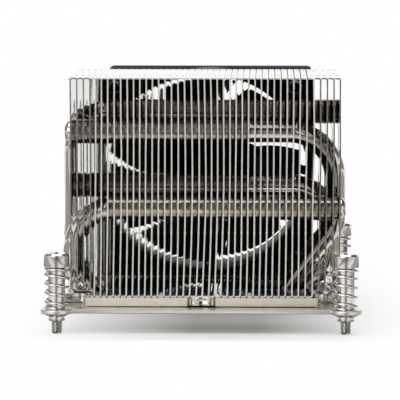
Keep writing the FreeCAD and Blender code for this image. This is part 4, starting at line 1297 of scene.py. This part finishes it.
def patch(tree, aside, y, inner, outer, start, end, depth, soft):
    """How much of the table's reflected tone is left over a patch of painted shade."""
    mask = 1.0
    for value, place, before, after in ((y, start, 0.0, 1.0), (y, end, 1.0, 0.0),
                                        (aside, inner, 0.0, 1.0), (aside, outer, 1.0, 0.0)):
        rim = spread(tree, value, place - soft, place + soft, before, after)
        mask = math_node(tree, "MULTIPLY", mask, rim)
    return spread(tree, mask, 0.0, 1.0, 1.0, 1.0 - depth)


def mix_shader(tree, share, a, b):
    node = tree.nodes.new("ShaderNodeMixShader")
    for slot, value in zip(node.inputs, (share, a, b)):
        tree.links.new(value, slot)
    return node.outputs[0]


def make_floor():
    """White table. In reflections only, it glows with a painted tone: darker far in front, and in lanes and
    patches of painted shade round the foot of the cooler.
    """
    material = bpy.data.materials.new("white_table")
    material.use_nodes = True
    tree = material.node_tree
    shader = tree.nodes["Principled BSDF"]
    shader.inputs["Base Color"].default_value = (0.90, 0.90, 0.90, 1.0)
    shader.inputs["Roughness"].default_value = 0.6
    shader.inputs["Specular IOR Level"].default_value = 0.2
    path = tree.nodes.new("ShaderNodeLightPath")
    x, y, _ = axes(tree, tree.nodes.new("ShaderNodeNewGeometry").outputs["Position"])
    away = 0.0
    for value, ramps in ((y, TABLE_WHITE["y"]), (x, TABLE_WHITE["x"])):
        for ramp in ramps:
            away = math_node(tree, "MAXIMUM", away, spread(tree, value, *ramp))
    aside = math_node(tree, "ABSOLUTE", x)
    ahead = math_node(tree, "MAXIMUM", math_node(tree, "SUBTRACT", LANE_ORIGIN, y), LANE_NEAREST)
    off_screw = math_node(tree, "SUBTRACT", aside, SCREW_PLACE * MM)
    lane = math_node(tree, "ABSOLUTE", math_node(tree, "DIVIDE", off_screw, ahead))
    # Painted shade, seen only in reflections: darker far in front, in the lanes and in the patches.
    tone = spread(tree, y, *NEAR_RAMP)
    for share in ([spread(tree, lane, *ramp) for ramp in LANE_RAMPS]
                  + [patch(tree, aside, y, **shape) for shape in PAINTED_SHADE_PATCHES]):
        tone = math_node(tree, "MULTIPLY", tone, share)
    painted_reflection = tree.nodes.new("ShaderNodeEmission")
    tree.links.new(tone, painted_reflection.inputs["Color"])
    white = tree.nodes.new("ShaderNodeEmission")
    burnt = math_node(tree, "MULTIPLY", path.outputs["Is Camera Ray"], away)
    lit = mix_shader(tree, burnt, shader.outputs[0], white.outputs[0])
    shown = mix_shader(tree, path.outputs["Is Glossy Ray"], lit, painted_reflection.outputs[0])
    tree.links.new(shown, tree.nodes["Material Output"].inputs["Surface"])
    mesh = bpy.data.meshes.new("floor")
    size, low = TABLE_HALF, SCREW_TIP * MM
    mesh.from_pydata([(-size, -size, low), (size, -size, low), (size, size, low), (-size, size, low)], [],
                     [(0, 1, 2, 3)])
    mesh.materials.append(material)
    floor = bpy.data.objects.new("floor", mesh)
    bpy.context.scene.collection.objects.link(floor)


def light_world():
    """White to the eye. Metal sees white behind and at the left, and in front a low band and a dark stand."""
    world = bpy.data.worlds.new("studio")
    bpy.context.scene.world = world
    world.use_nodes = True
    tree = world.node_tree
    background = tree.nodes["Background"]
    path = tree.nodes.new("ShaderNodeLightPath")
    seen = math_node(tree, "MAXIMUM", path.outputs["Is Camera Ray"], path.outputs["Is Glossy Ray"])
    seen = math_node(tree, "MAXIMUM", seen, path.outputs["Is Transmission Ray"])
    tree.links.new(spread(tree, seen, 0.0, 1.0, WORLD_FILL, 1.0), background.inputs["Strength"])
    x, y, z = axes(tree, tree.nodes.new("ShaderNodeTexCoord").outputs["Generated"])
    ahead = math_node(tree, "MAXIMUM", math_node(tree, "MULTIPLY", y, -1.0), STAND_NEAREST)
    slant = math_node(tree, "SUBTRACT", math_node(tree, "DIVIDE", x, ahead), STAND_PLACE)
    stand = spread(tree, math_node(tree, "ABSOLUTE", slant), *STAND_RAMP)
    front = math_node(tree, "MULTIPLY", spread(tree, z, *BAND_RAMP), stand)
    front = math_node(tree, "MAXIMUM", front, spread(tree, x, *LEFT_RAMP))
    front = math_node(tree, "MULTIPLY", front, spread(tree, y, *FLANK_RAMP))
    light = math_node(tree, "MAXIMUM", front, spread(tree, y, *BEHIND_RAMP))
    colour = mix_colour(tree, path.outputs["Is Glossy Ray"], (1.0, 1.0, 1.0), light)
    tree.links.new(colour, background.inputs["Color"])


def add_softbox(name, place, aim, size, watts):
    lamp = bpy.data.lights.new(name, "AREA")
    lamp.shape = "RECTANGLE"
    lamp.size, lamp.size_y = size
    lamp.energy = watts
    box = bpy.data.objects.new(name, lamp)
    box.location = place
    box.rotation_euler = (Vector(aim) - Vector(place)).to_track_quat("-Z", "Y").to_euler()
    bpy.context.scene.collection.objects.link(box)


def set_camera():
    lens = bpy.data.cameras.new("camera")
    lens.lens = LENS
    lens.sensor_width = SENSOR
    lens.clip_start, lens.clip_end = CLIP_RANGE
    camera = bpy.data.objects.new("camera", lens)
    camera.location = Vector(CAMERA_PLACE) * MM
    aim = Vector(CAMERA_AIM) * MM
    camera.rotation_euler = (aim - camera.location).to_track_quat("-Z", "Y").to_euler()
    bpy.context.scene.collection.objects.link(camera)
    bpy.context.scene.camera = camera


make_floor()
light_world()
add_softbox("overhead_softbox", place=(0.0, -0.15, 1.1), aim=SOFTBOX_AIM, size=(1.2, 1.0), watts=6.5)
add_softbox("front_softbox", place=(-0.7, -1.2, 0.7), aim=SOFTBOX_AIM, size=(0.9, 0.9), watts=3.6)
set_camera()
bpy.context.scene.view_settings.view_transform = "Standard"
